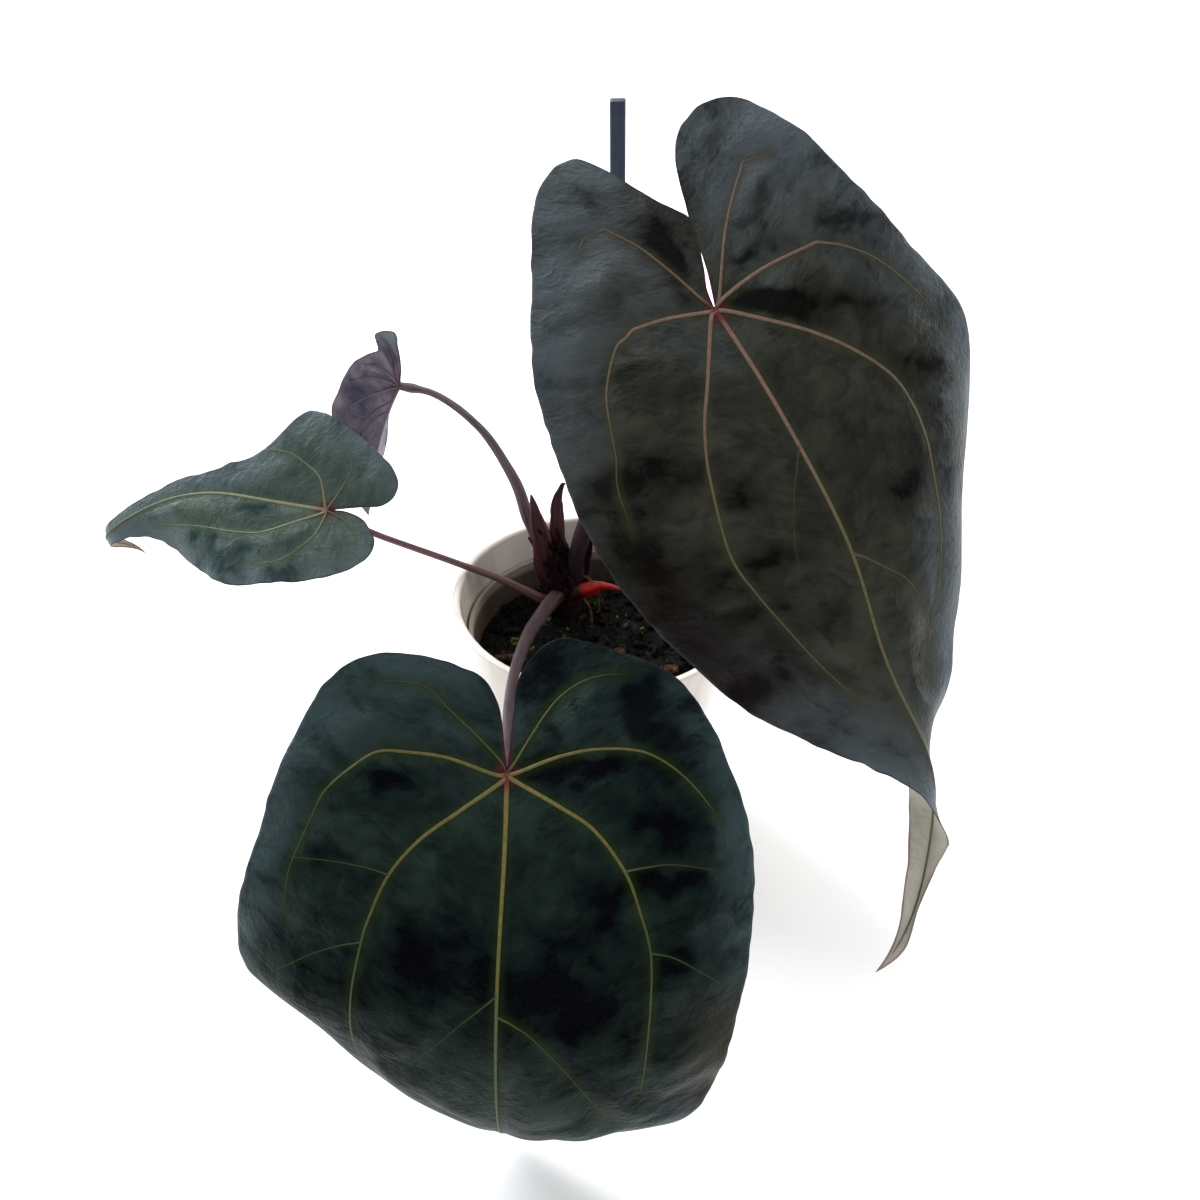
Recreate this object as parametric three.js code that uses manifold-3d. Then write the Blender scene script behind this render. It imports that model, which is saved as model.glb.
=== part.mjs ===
// A potted anthurium hybrid: four velvety leaves on long stalks, growing from one short stem in a
// plastic nursery pot, which stands inside a glossy white cover pot, with a square support stake.
// Lengths are millimetres and angles are degrees. +Z is up, and the origin is the middle of the
// cover pot's base.
import * as THREE from 'three';
import { mergeVertices } from 'three/addons/utils/BufferGeometryUtils.js';
import Module from 'manifold-3d';

// Driving dimensions of the two pots, the soil and the stake.
const GAP = 0.35;
const COVER = { rim: 65, base: 48.6, height: 120, wall: 3.8, floor: 4, round: 1.4 };
const NURSERY = { rim: 58, height: 99.7, wall: 1.2, lip: 1.9, lipHeight: 4, holes: 6, hole: 7 };
const SOIL = { top: 89, relief: 1.5, rings: 9, sides: 40, chips: 26, seed: 11 };
const STAKE = { width: 6.2, foot: [9.9, 44, 60], head: [-0.4, 60, 314.2] };
const TAPER = (COVER.rim - COVER.base) / COVER.height;
const NURSERY_FOOT = COVER.floor + GAP;
const BLADE_THICKNESS = 0.8;
const LOBE_RIB = 0.65;
const ROUND_SIDES = 64;

// Each leaf starts at its foot, where the stalk meets the blade. The blade is drawn flat first: x is
// across the midrib, y runs down it from the foot to the tip, and the two lobes have y below 0.
// Then it bends. Each list gives an angle at every step along the midrib: droop bends it away from
// the upper face, sweep turns it sideways, rise lifts a half like a page, and curl is the angle that
// a half has rolled through at the distance named half. Turn twists the end of the blade, and wave
// ripples the margin. Each margin is a curve through points from the foot, round the lobe, to the tip.
// Lobe gives where the margin reaches the lobe's far end, and where it comes back level with the
// foot, both counted in points.
const BIG_LEAF = {
  name: 'big', foot: [37, -27, 268], facing: 0, tilt: 52, spin: 34,
  start: -80, step: 40, length: 272, half: 80, lobeRows: 10, rows: 28, columns: 6,
  droop: [-10, -8, -6, -2, 2, 6, 4, 34, 4, 34],
  sweep: [7, 4, 2, -2, -5, -15, -5, -26, -48, -74],
  riseLeft: [10, 10, 10, 8, 4, 0, -24, -30, -24, -10],
  riseRight: [8, 8, 8, 5, 5, -2, -27, -30, -24, -10],
  curlLeft: [-20, -20, -25, -30, -30, -30, -30, -20, 0, 0],
  curlRight: [-25, -28, -34, -32, -101, -203, -115, -20, 0, 0],
  turn: { angle: -180, from: 150, to: 230 },
  wave: { height: 1.4, length: 38, phase: 0.4 },
  lobeLeft: { end: 8, level: 12.33 },
  lobeRight: { end: 6, level: 10.56 },
  left: [[0, 0], [1.5, -8], [6.5, -17], [13, -33], [8, -44.5], [3, -57], [-2.5, -70], [-8.5, -77.5],
    [-20, -77], [-32.5, -68], [-51, -42], [-62, -25], [-70, -9], [-77, 18], [-81, 45], [-80, 70],
    [-74, 103], [-66, 121], [-53.5, 138.5], [-39, 154], [-23, 169], [-12, 183], [-9, 192], [-9.5, 202],
    [-8, 213], [-3.5, 228], [-1.5, 243], [-3, 258], [0, 272]],
  right: [[0, 0], [4, -8], [7, -17], [12, -34], [20.5, -53], [29.5, -61], [41.5, -62.5], [52, -56.5],
    [58.5, -45], [64, -29], [67, -11], [70, 8], [73.5, 26], [77, 41], [78, 56], [73, 72], [60, 88],
    [50, 103], [42, 119], [34, 138], [26, 157], [19, 175], [12, 190], [9, 203], [8.5, 218], [8, 233],
    [4.5, 247], [2, 258], [0, 272]],
};
const FRONT_LEAF = {
  name: 'front', foot: [-28, -147.5, 156.6], facing: 0, tilt: 42, spin: -2,
  start: -80, step: 40, length: 178, half: 80, lobeRows: 8, rows: 22, columns: 6,
  droop: [0, 0, 0, 6, 22, 50, 85, 112],
  sweep: [2, 3, 4, 1, 2, 3, 3, 2],
  riseLeft: [8, 8, 8, 6, 4, -5, -22, -10],
  riseRight: [8, 8, 8, 6, 4, 2, 0, 0],
  curlLeft: [-25, -25, -30, -30, -44, -106, -121, -100],
  curlRight: [-25, -25, -30, -35, -32, -33, -18, -29],
  wave: { height: 1.2, length: 36, phase: 1.8 },
  lobeLeft: { end: 6.5, level: 10.17 },
  lobeRight: { end: 5.5, level: 10.2 },
  left: [[0, 0], [-2, -18], [-4.5, -26], [-9, -32], [-18, -36], [-30, -39], [-42, -39], [-52, -36],
    [-61, -29], [-69, -17], [-76, -3], [-82, 15], [-87, 34], [-92, 50], [-94, 64], [-91, 77],
    [-83, 89], [-72, 102], [-60, 116], [-46, 133], [-30, 151], [-13, 167], [0, 178]],
  right: [[0, 0], [1.5, -18], [3, -31], [8, -40], [16, -45.5], [25, -45], [36, -41.5], [49, -37],
    [60, -29], [68, -17], [74, -3.5], [81, 12], [85, 29], [86, 48], [84, 67], [81, 88], [78, 107],
    [74, 126], [64, 140], [48, 151], [31, 161], [13, 171], [0, 178]],
};
const LEFT_LEAF = {
  name: 'left', foot: [-117, 2, 158], facing: -8, tilt: 44, spin: -84,
  start: -40, step: 20, length: 136, half: 40, lobeRows: 6, rows: 22, columns: 5,
  droop: [-4, -4, -2, 2, 6, 8, 8, 12, 110, 185],
  sweep: [-4, -6, -8, -9, -9, 4, 20, 32, 10, -56],
  riseLeft: [10, 10, 8, 8, 6, 2, -4, -10, -10, -10],
  riseRight: [8, 8, 8, 8, 6, 2, -4, -10, -10, -10],
  curlLeft: [-8, -8, -8, -9, -10, -10, -10, -10, -10, -10],
  curlRight: [-8, -8, -8, -10, -13, -13, -10, -10, -10, -10],
  wave: { height: 0.9, length: 24, phase: 2.6 },
  lobeLeft: { end: 4.5, level: 7.82 },
  lobeRight: { end: 4.3, level: 7.9 },
  left: [[0, 0], [-3.5, -15], [-5, -23], [-9, -28], [-15, -29.5], [-21, -27], [-28, -19],
    [-34, -9], [-39, 2], [-42, 12], [-39, 19], [-30, 26], [-20, 35], [-14, 46], [-10, 57],
    [-8, 68], [-6, 80], [-5, 92], [-4, 104], [-3, 114], [-2, 124], [0, 136]],
  right: [[0, 0], [-1, -8], [1, -15.5], [6, -20.5], [11, -23], [17, -22], [23, -17], [28, -9],
    [32, 1], [35, 13], [38, 26], [39, 37], [36, 50], [30, 66], [22, 77], [14, 87], [9, 96],
    [6, 105], [4, 114], [2, 124], [0, 136]],
};
const YOUNG_LEAF = {
  name: 'young', foot: [-94, 66, 184], facing: -100, tilt: 80, spin: 0,
  start: -20, step: 20, length: 70, half: 30, lobeRows: 5, rows: 16, columns: 5,
  droop: [-20, -16, -8, -2, 2, 4],
  sweep: [6, 8, 10, 8, 4, 0],
  riseLeft: [60, 45, 5, -8, 0, 10],
  riseRight: [60, 56, 52, 52, 56, 60],
  curlLeft: [120, 110, 110, 110, 100, 60],
  curlRight: [30, 30, 40, 50, 60, 60],
  wave: { height: 0.7, length: 17, phase: 0 },
  lobeLeft: { end: 7, level: 11.86 },
  lobeRight: { end: 4, level: 8.57 },
  left: [[0, 0], [-3.5, -6], [-6, -9], [-9, -12], [-11.5, -14.5], [-13, -17], [-15.5, -18.5],
    [-19, -17], [-21.5, -15], [-22.5, -12.5], [-21, -10], [-19.5, -6], [-23, 1], [-27, 9], [-27.5, 20],
    [-24, 33], [-18, 46], [-10, 58], [0, 70]],
  right: [[0, 0], [4, -5], [8.5, -9.5], [12.5, -12.5], [14.5, -14], [17, -13], [21, -9], [24, -5],
    [24.5, -2], [25, 1.5], [26, 8], [26, 14], [24.5, 24], [21, 36], [16, 48], [9, 58], [0, 70]],
};

// Round pieces of the plant: each is a smooth path with a radius at every point of it.
const STEM = {
  path: [[-12, 28, 58], [-13, 29, 74], [-15, 29.5, 92], [-18, 30, 103], [-21, 31, 113],
    [-24, 32.5, 123], [-26, 34, 130]],
  radii: [3, 7, 9, 9.5, 8, 5.5, 2],
};
const BRACTS = [
  { path: [[-21, 27, 100], [-24, 25, 112], [-26.5, 25.5, 127], [-29.4, 28.5, 140], [-32.3, 32, 150.5]],
    widths: [5, 5, 4.5, 3, 0.5], depth: 0.9 },
  { path: [[-19, 29, 106], [-20.7, 30, 116], [-21, 33, 131], [-20.8, 36, 143], [-19, 38, 151.5],
    [-17.4, 38, 153.5]], widths: [4, 3.6, 3, 2.4, 1.2, 0.4], depth: 0.9 },
  { path: [[-16.5, 28, 106], [-17.9, 30, 117], [-18.1, 31, 127], [-18.3, 33, 137], [-18.5, 35, 145.5]],
    widths: [2.6, 2.2, 1.8, 1.2, 0.4], depth: 0.8 },
  { path: [[-22, 27, 110], [-25.6, 27, 118.7], [-30.2, 28, 126.1], [-33.5, 29, 129.7]],
    widths: [3, 2.4, 1.4, 0.4], depth: 0.8 },
];
const AERIAL_ROOTS = [
  [[-14, 27, 108], [-7, 27, 110], [-2.5, 27, 104], [0, 27, 92], [1, 27, 80]],
  [[-13, 29, 104], [-6, 31, 106], [-1, 32, 98], [2, 33, 88], [3, 33, 78]],
  [[-14, 25, 101], [-8, 22, 102], [-4, 20, 96], [-3, 19, 88], [-3, 19, 79]],
];
const AERIAL_ROOT_RADIUS = 1.1;
const RED_BUD = {
  path: [[-12.8, 24, 102], [-5.4, 22.5, 106.5], [0.1, 21, 109.5], [5.6, 19, 110.7], [10, 17, 111]],
  radii: [3.4, 3.1, 2.3, 1.5, 0.5],
};
const STALKS = {
  big: {
    path: [[-13, 28, 101], [-11, 27.5, 119], [-8, 25, 138], [-2, 20, 162], [8, 10, 194],
      [20, -4, 227], [30, -16, 252], [36.4, -23.4, 264.6]],
    radii: [4.6, 4.3, 4, 3.6, 3.3, 3, 2.8, 2.9],
  },
  front: {
    path: [[-17, 29, 100.5], [-20, 20, 103], [-23, 9, 106], [-26, -6, 110.5], [-29, -24, 117],
      [-31, -48, 125.5], [-32, -76, 135.8], [-31.4, -104, 145.4], [-29.6, -128, 151.6],
      [-28.1, -143.5, 153.6]],
    radii: [4, 3.7, 3.4, 3.2, 2.9, 2.5, 2.1, 1.9, 1.9, 2.3],
  },
  left: {
    path: [[-20, 26, 96], [-25.2, 21, 100.2], [-43.2, 17, 113.2], [-65.3, 12, 126.4],
      [-88, 8, 138.4], [-98.2, 6.5, 143.8], [-110, 5, 151], [-115.6, 4, 155.4]],
    radii: [2.8, 2.4, 1.7, 1.5, 1.4, 1.4, 1.5, 1.7],
  },
  young: {
    path: [[-22, 33, 106], [-28, 36, 119], [-31.8, 38, 128.7], [-34.6, 39, 135],
      [-38.9, 42, 148], [-44.9, 45, 158.7], [-51.8, 49, 168], [-57.8, 52, 173.6],
      [-67.6, 57, 179.6], [-79.3, 62, 183.6], [-91, 65.6, 184.3]],
    radii: [3.2, 3.2, 3, 2.9, 2.6, 2.2, 2, 1.8, 1.7, 1.6, 1.7],
  },
};

const wasm = await Module();
wasm.setup();

const radians = (angle) => angle * Math.PI / 180;

function finish(color, roughness) {
  return new THREE.MeshStandardMaterial({ color, roughness, metalness: 0 });
}

// The value at place t of a list of numbers, on a smooth Catmull-Rom curve through them.
function along(values, t) {
  const last = values.length - 1;
  const place = Math.min(Math.max(t, 0), last);
  const i = Math.min(Math.floor(place), last - 1);
  const f = place - i;
  const b = values[i];
  const c = values[i + 1];
  const a = i > 0 ? values[i - 1] : 2 * b - c;
  const d = i + 2 <= last ? values[i + 2] : 2 * c - b;
  return b + 0.5 * f * (c - a + f * (2 * a - 5 * b + 4 * c - d + f * (3 * (b - c) + d - a)));
}

// A point on one margin of a leaf, at a place that is counted in the margin's points.
function marginPoint(points, place) {
  return [along(points.map((p) => p[0]), place), along(points.map((p) => p[1]), place)];
}

// Three unit directions at distance y down the midrib: along it, across it, and out of the face.
function midribFrame(leaf, y) {
  const place = (y - leaf.start) / leaf.step;
  const droop = radians(along(leaf.droop, place));
  const sweep = radians(along(leaf.sweep, place));
  const along3 = new THREE.Vector3(Math.sin(sweep) * Math.cos(droop),
    -Math.cos(sweep) * Math.cos(droop), -Math.sin(droop));
  const across = new THREE.Vector3(Math.cos(sweep), Math.sin(sweep), 0);
  const out = along3.clone().cross(across);
  if (leaf.turn) {
    const q = THREE.MathUtils.smoothstep(y, leaf.turn.from, leaf.turn.to);
    across.applyAxisAngle(along3, radians(leaf.turn.angle) * q);
    out.applyAxisAngle(along3, radians(leaf.turn.angle) * q);
  }
  return { along: along3, across, out };
}

// The midrib's points, one for each millimetre, found by adding up its directions from the foot.
// They run on above the foot, as far as the lobes reach.
function midribPoints(leaf) {
  const points = new Map([[0, new THREE.Vector3()]]);
  const lobes = Math.min(...leaf.left.concat(leaf.right).map((p) => p[1]));
  for (const way of [1, -1]) {
    const end = way > 0 ? leaf.length : 4 - Math.floor(lobes);
    const point = new THREE.Vector3();
    for (let i = 0; i < end; i += 1) {
      point.addScaledVector(midribFrame(leaf, way * (i + 0.5)).along, way);
      points.set(way * (i + 1), point.clone());
    }
  }
  return points;
}

// Where the flat point x, y lies on the bent blade. Side is -1 on the left half and 1 on the right.
function bladePoint(leaf, midrib, side, x, y) {
  const low = Math.min(Math.floor(y), leaf.length - 1);
  const point = midrib.get(low).clone().lerp(midrib.get(low + 1), y - low);
  const frame = midribFrame(leaf, y);
  const place = (y - leaf.start) / leaf.step;
  const rise = radians(along(side < 0 ? leaf.riseLeft : leaf.riseRight, place));
  const curl = radians(along(side < 0 ? leaf.curlLeft : leaf.curlRight, place));
  const steps = 12;
  const reach = side * x;
  for (let i = 0; i < steps; i += 1) {
    const part = reach * (i + 0.5) / steps / leaf.half;
    const angle = rise + curl * part * part;
    point.addScaledVector(frame.across, side * Math.cos(angle) * reach / steps);
    point.addScaledVector(frame.out, Math.sin(angle) * reach / steps);
  }
  const ripple = Math.sin(2 * Math.PI * y / leaf.wave.length + leaf.wave.phase + side);
  return point.addScaledVector(frame.out, leaf.wave.height * (Math.max(reach, 0) / leaf.half) ** 2 * ripple);
}

// The rows that one half of a flat blade is woven from. Each runs from a point of a rib to a point of
// the margin: down one side of the lobe's rib, back up its other side, and then down the midrib.
function bladeRows(leaf, side) {
  const margin = side < 0 ? leaf.left : leaf.right;
  const lobe = side < 0 ? leaf.lobeLeft : leaf.lobeRight;
  const rib = marginPoint(margin, lobe.end).map((c) => c * LOBE_RIB);
  const rows = [];
  for (let i = 0; i <= 2 * leaf.lobeRows; i += 1) {
    const out = i / leaf.lobeRows;
    const place = out < 1 ? lobe.end * out : lobe.end + (lobe.level - lobe.end) * (out - 1);
    rows.push([rib.map((c) => c * Math.min(out, 2 - out)), marginPoint(margin, place)]);
  }
  for (let i = 1; i <= leaf.rows; i += 1) {
    const down = i / leaf.rows;
    const place = lobe.level + (margin.length - 1 - lobe.level) * down;
    rows.push([[0, leaf.length * down ** 1.2], marginPoint(margin, place)]);
  }
  return rows;
}

function bladeSheet(leaf) {
  const midrib = midribPoints(leaf);
  const positions = [];
  const index = [];
  for (const side of [-1, 1]) {
    const first = positions.length / 3;
    const rows = bladeRows(leaf, side);
    for (const [[x0, y0], [x1, y1]] of rows) {
      for (let j = 0; j <= leaf.columns; j += 1) {
        const v = j / leaf.columns;
        const [x, y] = [x0 + (x1 - x0) * v, y0 + (y1 - y0) * v];
        bladePoint(leaf, midrib, side, x, y).toArray(positions, positions.length);
      }
    }
    const width = leaf.columns + 1;
    for (let i = 0; i < rows.length - 1; i += 1) {
      const back = i >= leaf.lobeRows && i < 2 * leaf.lobeRows;
      for (let j = 0; j < leaf.columns; j += 1) {
        const a = first + i * width + j;
        const b = a + width;
        const split = back ? [a, a + 1, b + 1, a, b + 1, b] : [a, a + 1, b, b, a + 1, b + 1];
        index.push(...(side < 0 ? split : split.reverse()));
      }
    }
  }
  const sheet = new THREE.BufferGeometry();
  sheet.setAttribute('position', new THREE.Float32BufferAttribute(positions, 3));
  sheet.setIndex(index);
  return mergeVertices(sheet, 1e-3);
}

// Gives a sheet its thickness: one face each way along the normals, and a rim where it ends.
function thicken(sheet, thickness) {
  sheet.computeVertexNormals();
  const place = sheet.attributes.position;
  const normal = sheet.attributes.normal;
  const faces = [];
  for (let i = 0; i < sheet.index.count; i += 3) {
    const face = [0, 1, 2].map((k) => sheet.index.getX(i + k));
    if (new Set(face).size === 3) faces.push(face);
  }
  const positions = [];
  for (const way of [0.5, -0.5]) {
    for (let i = 0; i < place.count; i += 1) {
      const out = new THREE.Vector3().fromBufferAttribute(normal, i).multiplyScalar(way * thickness);
      new THREE.Vector3().fromBufferAttribute(place, i).add(out).toArray(positions, positions.length);
    }
  }
  const edges = new Set(faces.flatMap(([a, b, c]) => [`${a},${b}`, `${b},${c}`, `${c},${a}`]));
  const index = faces.flat();
  for (const [a, b, c] of faces) index.push(a + place.count, c + place.count, b + place.count);
  for (const edge of edges) {
    const [a, b] = edge.split(',').map(Number);
    if (!edges.has(`${b},${a}`)) {
      index.push(a, a + place.count, b, b, a + place.count, b + place.count);
    }
  }
  const body = new THREE.BufferGeometry();
  body.setAttribute('position', new THREE.Float32BufferAttribute(positions, 3));
  body.setIndex(index);
  return body;
}

// A round or flattened rod along a smooth path. Widths are half sizes across the path. Where depths
// are given, the section is an ellipse whose flat side looks towards facing.
function rod(path, widths, { depths = widths, sides = 10, steps = 4, grow = 0, facing = null } = {}) {
  const curve = new THREE.CatmullRomCurve3(path.map((p) => new THREE.Vector3(...p)));
  const rings = (path.length - 1) * steps;
  const frames = curve.computeFrenetFrames(rings, false);
  const positions = [];
  for (let i = 0; i <= rings; i += 1) {
    const centre = curve.getPoint(i / rings);
    const tangent = curve.getTangent(i / rings);
    const wide = facing ? new THREE.Vector3(...facing).cross(tangent).normalize() : frames.normals[i];
    const deep = wide.clone().cross(tangent).normalize();
    const w = Math.max(along(widths, i / steps), 0.3) + grow;
    const d = Math.max(along(depths, i / steps), 0.3) + grow;
    for (let j = 0; j < sides; j += 1) {
      const angle = 2 * Math.PI * j / sides;
      centre.clone().addScaledVector(wide, w * Math.cos(angle))
        .addScaledVector(deep, d * Math.sin(angle)).toArray(positions, positions.length);
    }
  }
  const tail = positions.length / 3;
  curve.getPoint(0).addScaledVector(curve.getTangent(0), -grow).toArray(positions, positions.length);
  curve.getPoint(1).addScaledVector(curve.getTangent(1), grow).toArray(positions, positions.length);
  const index = [];
  for (let j = 0; j < sides; j += 1) {
    const k = (j + 1) % sides;
    for (let i = 0; i < rings; i += 1) {
      const a = i * sides;
      const b = a + sides;
      index.push(a + j, b + j, a + k, a + k, b + j, b + k);
    }
    index.push(tail, j, k, tail + 1, rings * sides + k, rings * sides + j);
  }
  const body = new THREE.BufferGeometry();
  body.setAttribute('position', new THREE.Float32BufferAttribute(positions, 3));
  body.setIndex(index);
  return body;
}

// A closed geometry as a solid that can be joined and cut, turned right side out if need be.
function solid(geometry) {
  const bare = geometry.clone();
  bare.deleteAttribute('normal');
  bare.deleteAttribute('uv');
  const merged = mergeVertices(bare, 1e-4);
  const vertProperties = new Float32Array(merged.attributes.position.array);
  const corners = [];
  for (let i = 0; i < merged.index.count; i += 3) {
    const face = [0, 1, 2].map((k) => merged.index.getX(i + k));
    if (new Set(face).size === 3) corners.push(...face);
  }
  const build = (triVerts) => new wasm.Manifold(new wasm.Mesh({ numProp: 3, vertProperties, triVerts }));
  const body = build(new Uint32Array(corners));
  if (body.volume() > 0) return body;
  return build(new Uint32Array(corners).map((_, i) => corners[i - i % 3 + 2 - i % 3]));
}

function fromSolid(body) {
  const { vertProperties, triVerts, numProp } = body.getMesh();
  const positions = new Float32Array(vertProperties.length / numProp * 3);
  for (let i = 0; i < positions.length; i += 1) {
    positions[i] = vertProperties[Math.floor(i / 3) * numProp + i % 3];
  }
  const geometry = new THREE.BufferGeometry();
  geometry.setAttribute('position', new THREE.BufferAttribute(positions, 3));
  geometry.setIndex(new THREE.BufferAttribute(new Uint32Array(triVerts), 1));
  return geometry;
}

function piece(name, geometry, material) {
  const mesh = new THREE.Mesh(geometry, material);
  mesh.name = name;
  return mesh;
}

// A profile of radius and height pairs turned about the pot's upright axis.
function turned(profile, sides = ROUND_SIDES) {
  const points = profile.map(([r, z]) => new THREE.Vector2(r, z));
  return new THREE.LatheGeometry(points, sides).rotateX(Math.PI / 2);
}

// The outer radius of the cover pot, and the nursery pot's that stands inside it, at height z.
const coverRadius = (z) => COVER.base + TAPER * z;
const nurseryRadius = (z) => NURSERY.rim - TAPER * (NURSERY_FOOT + NURSERY.height - z);

function coverPot() {
  const { height, wall, floor, round } = COVER;
  const inner = (z) => coverRadius(z) - wall;
  const lip = [];
  for (let i = 0; i <= 6; i += 1) {
    const angle = Math.PI * i / 6;
    const middle = coverRadius(height) - wall / 2;
    lip.push([middle + wall / 2 * Math.cos(angle), height - round + round * Math.sin(angle)]);
  }
  return solid(turned([[0, 0], [coverRadius(0) - 2, 0], [coverRadius(2), 2], ...lip,
    [inner(floor + 3), floor + 3], [inner(floor) - 3, floor], [0, floor]]));
}

function nurseryPot() {
  const { wall, lip, lipHeight, height, holes, hole } = NURSERY;
  const top = NURSERY_FOOT + height;
  const low = NURSERY_FOOT;
  const under = top - lipHeight;
  const shell = solid(turned([[0, low], [nurseryRadius(low) - 3, low], [nurseryRadius(low + 3), low + 3],
    [nurseryRadius(under) - 0.6, under], [NURSERY.rim - 0.3, under + 0.4], [NURSERY.rim, top - 0.5],
    [NURSERY.rim - 0.5, top], [NURSERY.rim - lip, top], [nurseryRadius(under) - 0.6 - wall, under - 1],
    [nurseryRadius(low + 4) - wall, low + 4], [nurseryRadius(low) - 3.4, low + 1.5], [0, low + 1.5]]));
  const drill = new THREE.CylinderGeometry(hole / 2, hole / 2, 12, 12).rotateX(Math.PI / 2);
  let pot = shell;
  for (let i = 0; i < holes; i += 1) {
    const angle = 2 * Math.PI * i / holes;
    const ring = nurseryRadius(low) * 0.62;
    const place = drill.clone().translate(ring * Math.cos(angle), ring * Math.sin(angle), low);
    pot = pot.subtract(solid(place));
  }
  return pot;
}

function randomDraw(seed) {
  let state = seed;
  return () => {
    state = (state * 1664525 + 1013904223) % 4294967296;
    return state / 4294967296;
  };
}

// The height of the soil at a place, in soft mounds.
function soilHeight(x, y) {
  const mounds = Math.sin(x / 6.3 + 1.1) * Math.cos(y / 5.1) + 0.6 * Math.sin(x / 3.1 - y / 3.7);
  return SOIL.top + SOIL.relief * 0.6 * mounds;
}

function soilBody() {
  const bottom = NURSERY_FOOT + 1.5 + GAP;
  const inside = (z) => nurseryRadius(z) - NURSERY.wall - 0.6 - GAP;
  const profile = [[0, bottom], [inside(bottom) - 3, bottom], [inside(bottom + 4), bottom + 4],
    [inside(SOIL.top - 3), SOIL.top - 3]];
  for (let i = 0; i < SOIL.rings; i += 1) {
    profile.push([(inside(SOIL.top) - 0.6) * (1 - i / SOIL.rings), SOIL.top]);
  }
  profile.push([0, SOIL.top]);
  const geometry = turned(profile, SOIL.sides);
  const place = geometry.attributes.position;
  for (let i = 0; i < place.count; i += 1) {
    if (place.getZ(i) > SOIL.top - 1) place.setZ(i, soilHeight(place.getX(i), place.getY(i)));
  }
  return solid(geometry);
}

// Chips of bark lie half sunk in the soil, clear of the stem and the stake.
function barkChips() {
  const draw = randomDraw(SOIL.seed);
  const keepOff = [[...STEM.path[2], 22], [...STAKE.foot, 9]];
  const chips = [];
  while (chips.length < SOIL.chips) {
    const angle = 2 * Math.PI * draw();
    const r = 47 * Math.sqrt(draw());
    const [x, y] = [r * Math.cos(angle), r * Math.sin(angle)];
    const chip = new THREE.BoxGeometry(5 + 6 * draw(), 3 + 3 * draw(), 2.4 + 1.6 * draw());
    chip.rotateX(0.7 * (draw() - 0.5)).rotateY(0.7 * (draw() - 0.5)).rotateZ(Math.PI * draw());
    chip.translate(x, y, soilHeight(x, y) + 0.3);
    if (keepOff.every(([a, b, , clear]) => Math.hypot(x - a, y - b) > clear)) chips.push(solid(chip));
  }
  return chips;
}

function stake(grow = 0) {
  const foot = new THREE.Vector3(...STAKE.foot);
  const head = new THREE.Vector3(...STAKE.head);
  const width = STAKE.width + 2 * grow;
  const bar = new THREE.BoxGeometry(width, width, foot.distanceTo(head) + 2 * grow);
  const lean = new THREE.Quaternion().setFromUnitVectors(new THREE.Vector3(0, 0, 1),
    head.clone().sub(foot).normalize());
  const middle = foot.add(head).multiplyScalar(0.5);
  return solid(bar.applyQuaternion(lean).translate(middle.x, middle.y, middle.z));
}

// The stem with the papery bracts and the aerial roots that grow from it, swollen by grow.
function stem(grow = 0) {
  let body = solid(rod(STEM.path, STEM.radii, { sides: 14, steps: 3, grow }));
  for (const { path, widths, depth } of BRACTS) {
    const depths = widths.map((w) => Math.min(depth, w));
    body = body.add(solid(rod(path, widths, { depths, sides: 8, steps: 3, grow, facing: [0.2, -1, 0.3] })));
  }
  for (const path of AERIAL_ROOTS) {
    const radii = path.map(() => AERIAL_ROOT_RADIUS);
    body = body.add(solid(rod(path, radii, { sides: 6, steps: 3, grow })));
  }
  return body;
}

const stalkOf = (name, grow = 0) => solid(rod(STALKS[name].path, STALKS[name].radii, { steps: 3, grow }));

const plant = new THREE.Group();
const nearStem = stem(GAP);
const nearStake = stake(GAP);

plant.add(piece('cover_pot', fromSolid(coverPot()), finish(0xe4ddd2, 0.18)));
plant.add(piece('nursery_pot', fromSolid(nurseryPot()), finish(0x6b5f55, 0.5)));
const mix = barkChips().reduce((body, chip) => body.add(chip), soilBody());
plant.add(piece('potting_mix', fromSolid(mix.subtract(nearStem).subtract(nearStake)), finish(0x14110e, 0.95)));
plant.add(piece('support_stake', fromSolid(stake()), finish(0x222e44, 0.4)));
plant.add(piece('stem', fromSolid(stem()), finish(0x3a1a20, 0.6)));
plant.add(piece('red_bud', fromSolid(solid(rod(RED_BUD.path, RED_BUD.radii)).subtract(nearStem)),
  finish(0x9c1d22, 0.35)));

// The stalks grow from the stem one above another, so each is cut clear of the ones before it.
let taken = nearStem.add(solid(rod(RED_BUD.path, RED_BUD.radii, { grow: GAP })));
for (const name of ['big', 'front', 'left', 'young']) {
  plant.add(piece(`petiole_${name}`, fromSolid(stalkOf(name).subtract(taken)), finish(0x6d5058, 0.5)));
  taken = taken.add(stalkOf(name, GAP));
}

// Each blade stands in its own frame, turned about its normal, then tilted, then faced.
const velvet = { big: 0x24292c, front: 0x141f1c, left: 0x3c4d4a, young: 0x6b6069 };
for (const leaf of [BIG_LEAF, FRONT_LEAF, LEFT_LEAF, YOUNG_LEAF]) {
  const blade = piece(`blade_${leaf.name}`, thicken(bladeSheet(leaf), BLADE_THICKNESS),
    finish(velvet[leaf.name], 0.6));
  blade.rotation.z = radians(leaf.spin);
  const tilted = new THREE.Group();
  tilted.rotation.x = radians(leaf.tilt);
  const faced = new THREE.Group();
  faced.rotation.z = radians(leaf.facing);
  faced.position.set(...leaf.foot);
  faced.add(tilted.add(blade));
  plant.add(faced);
}

export default plant;
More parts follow.
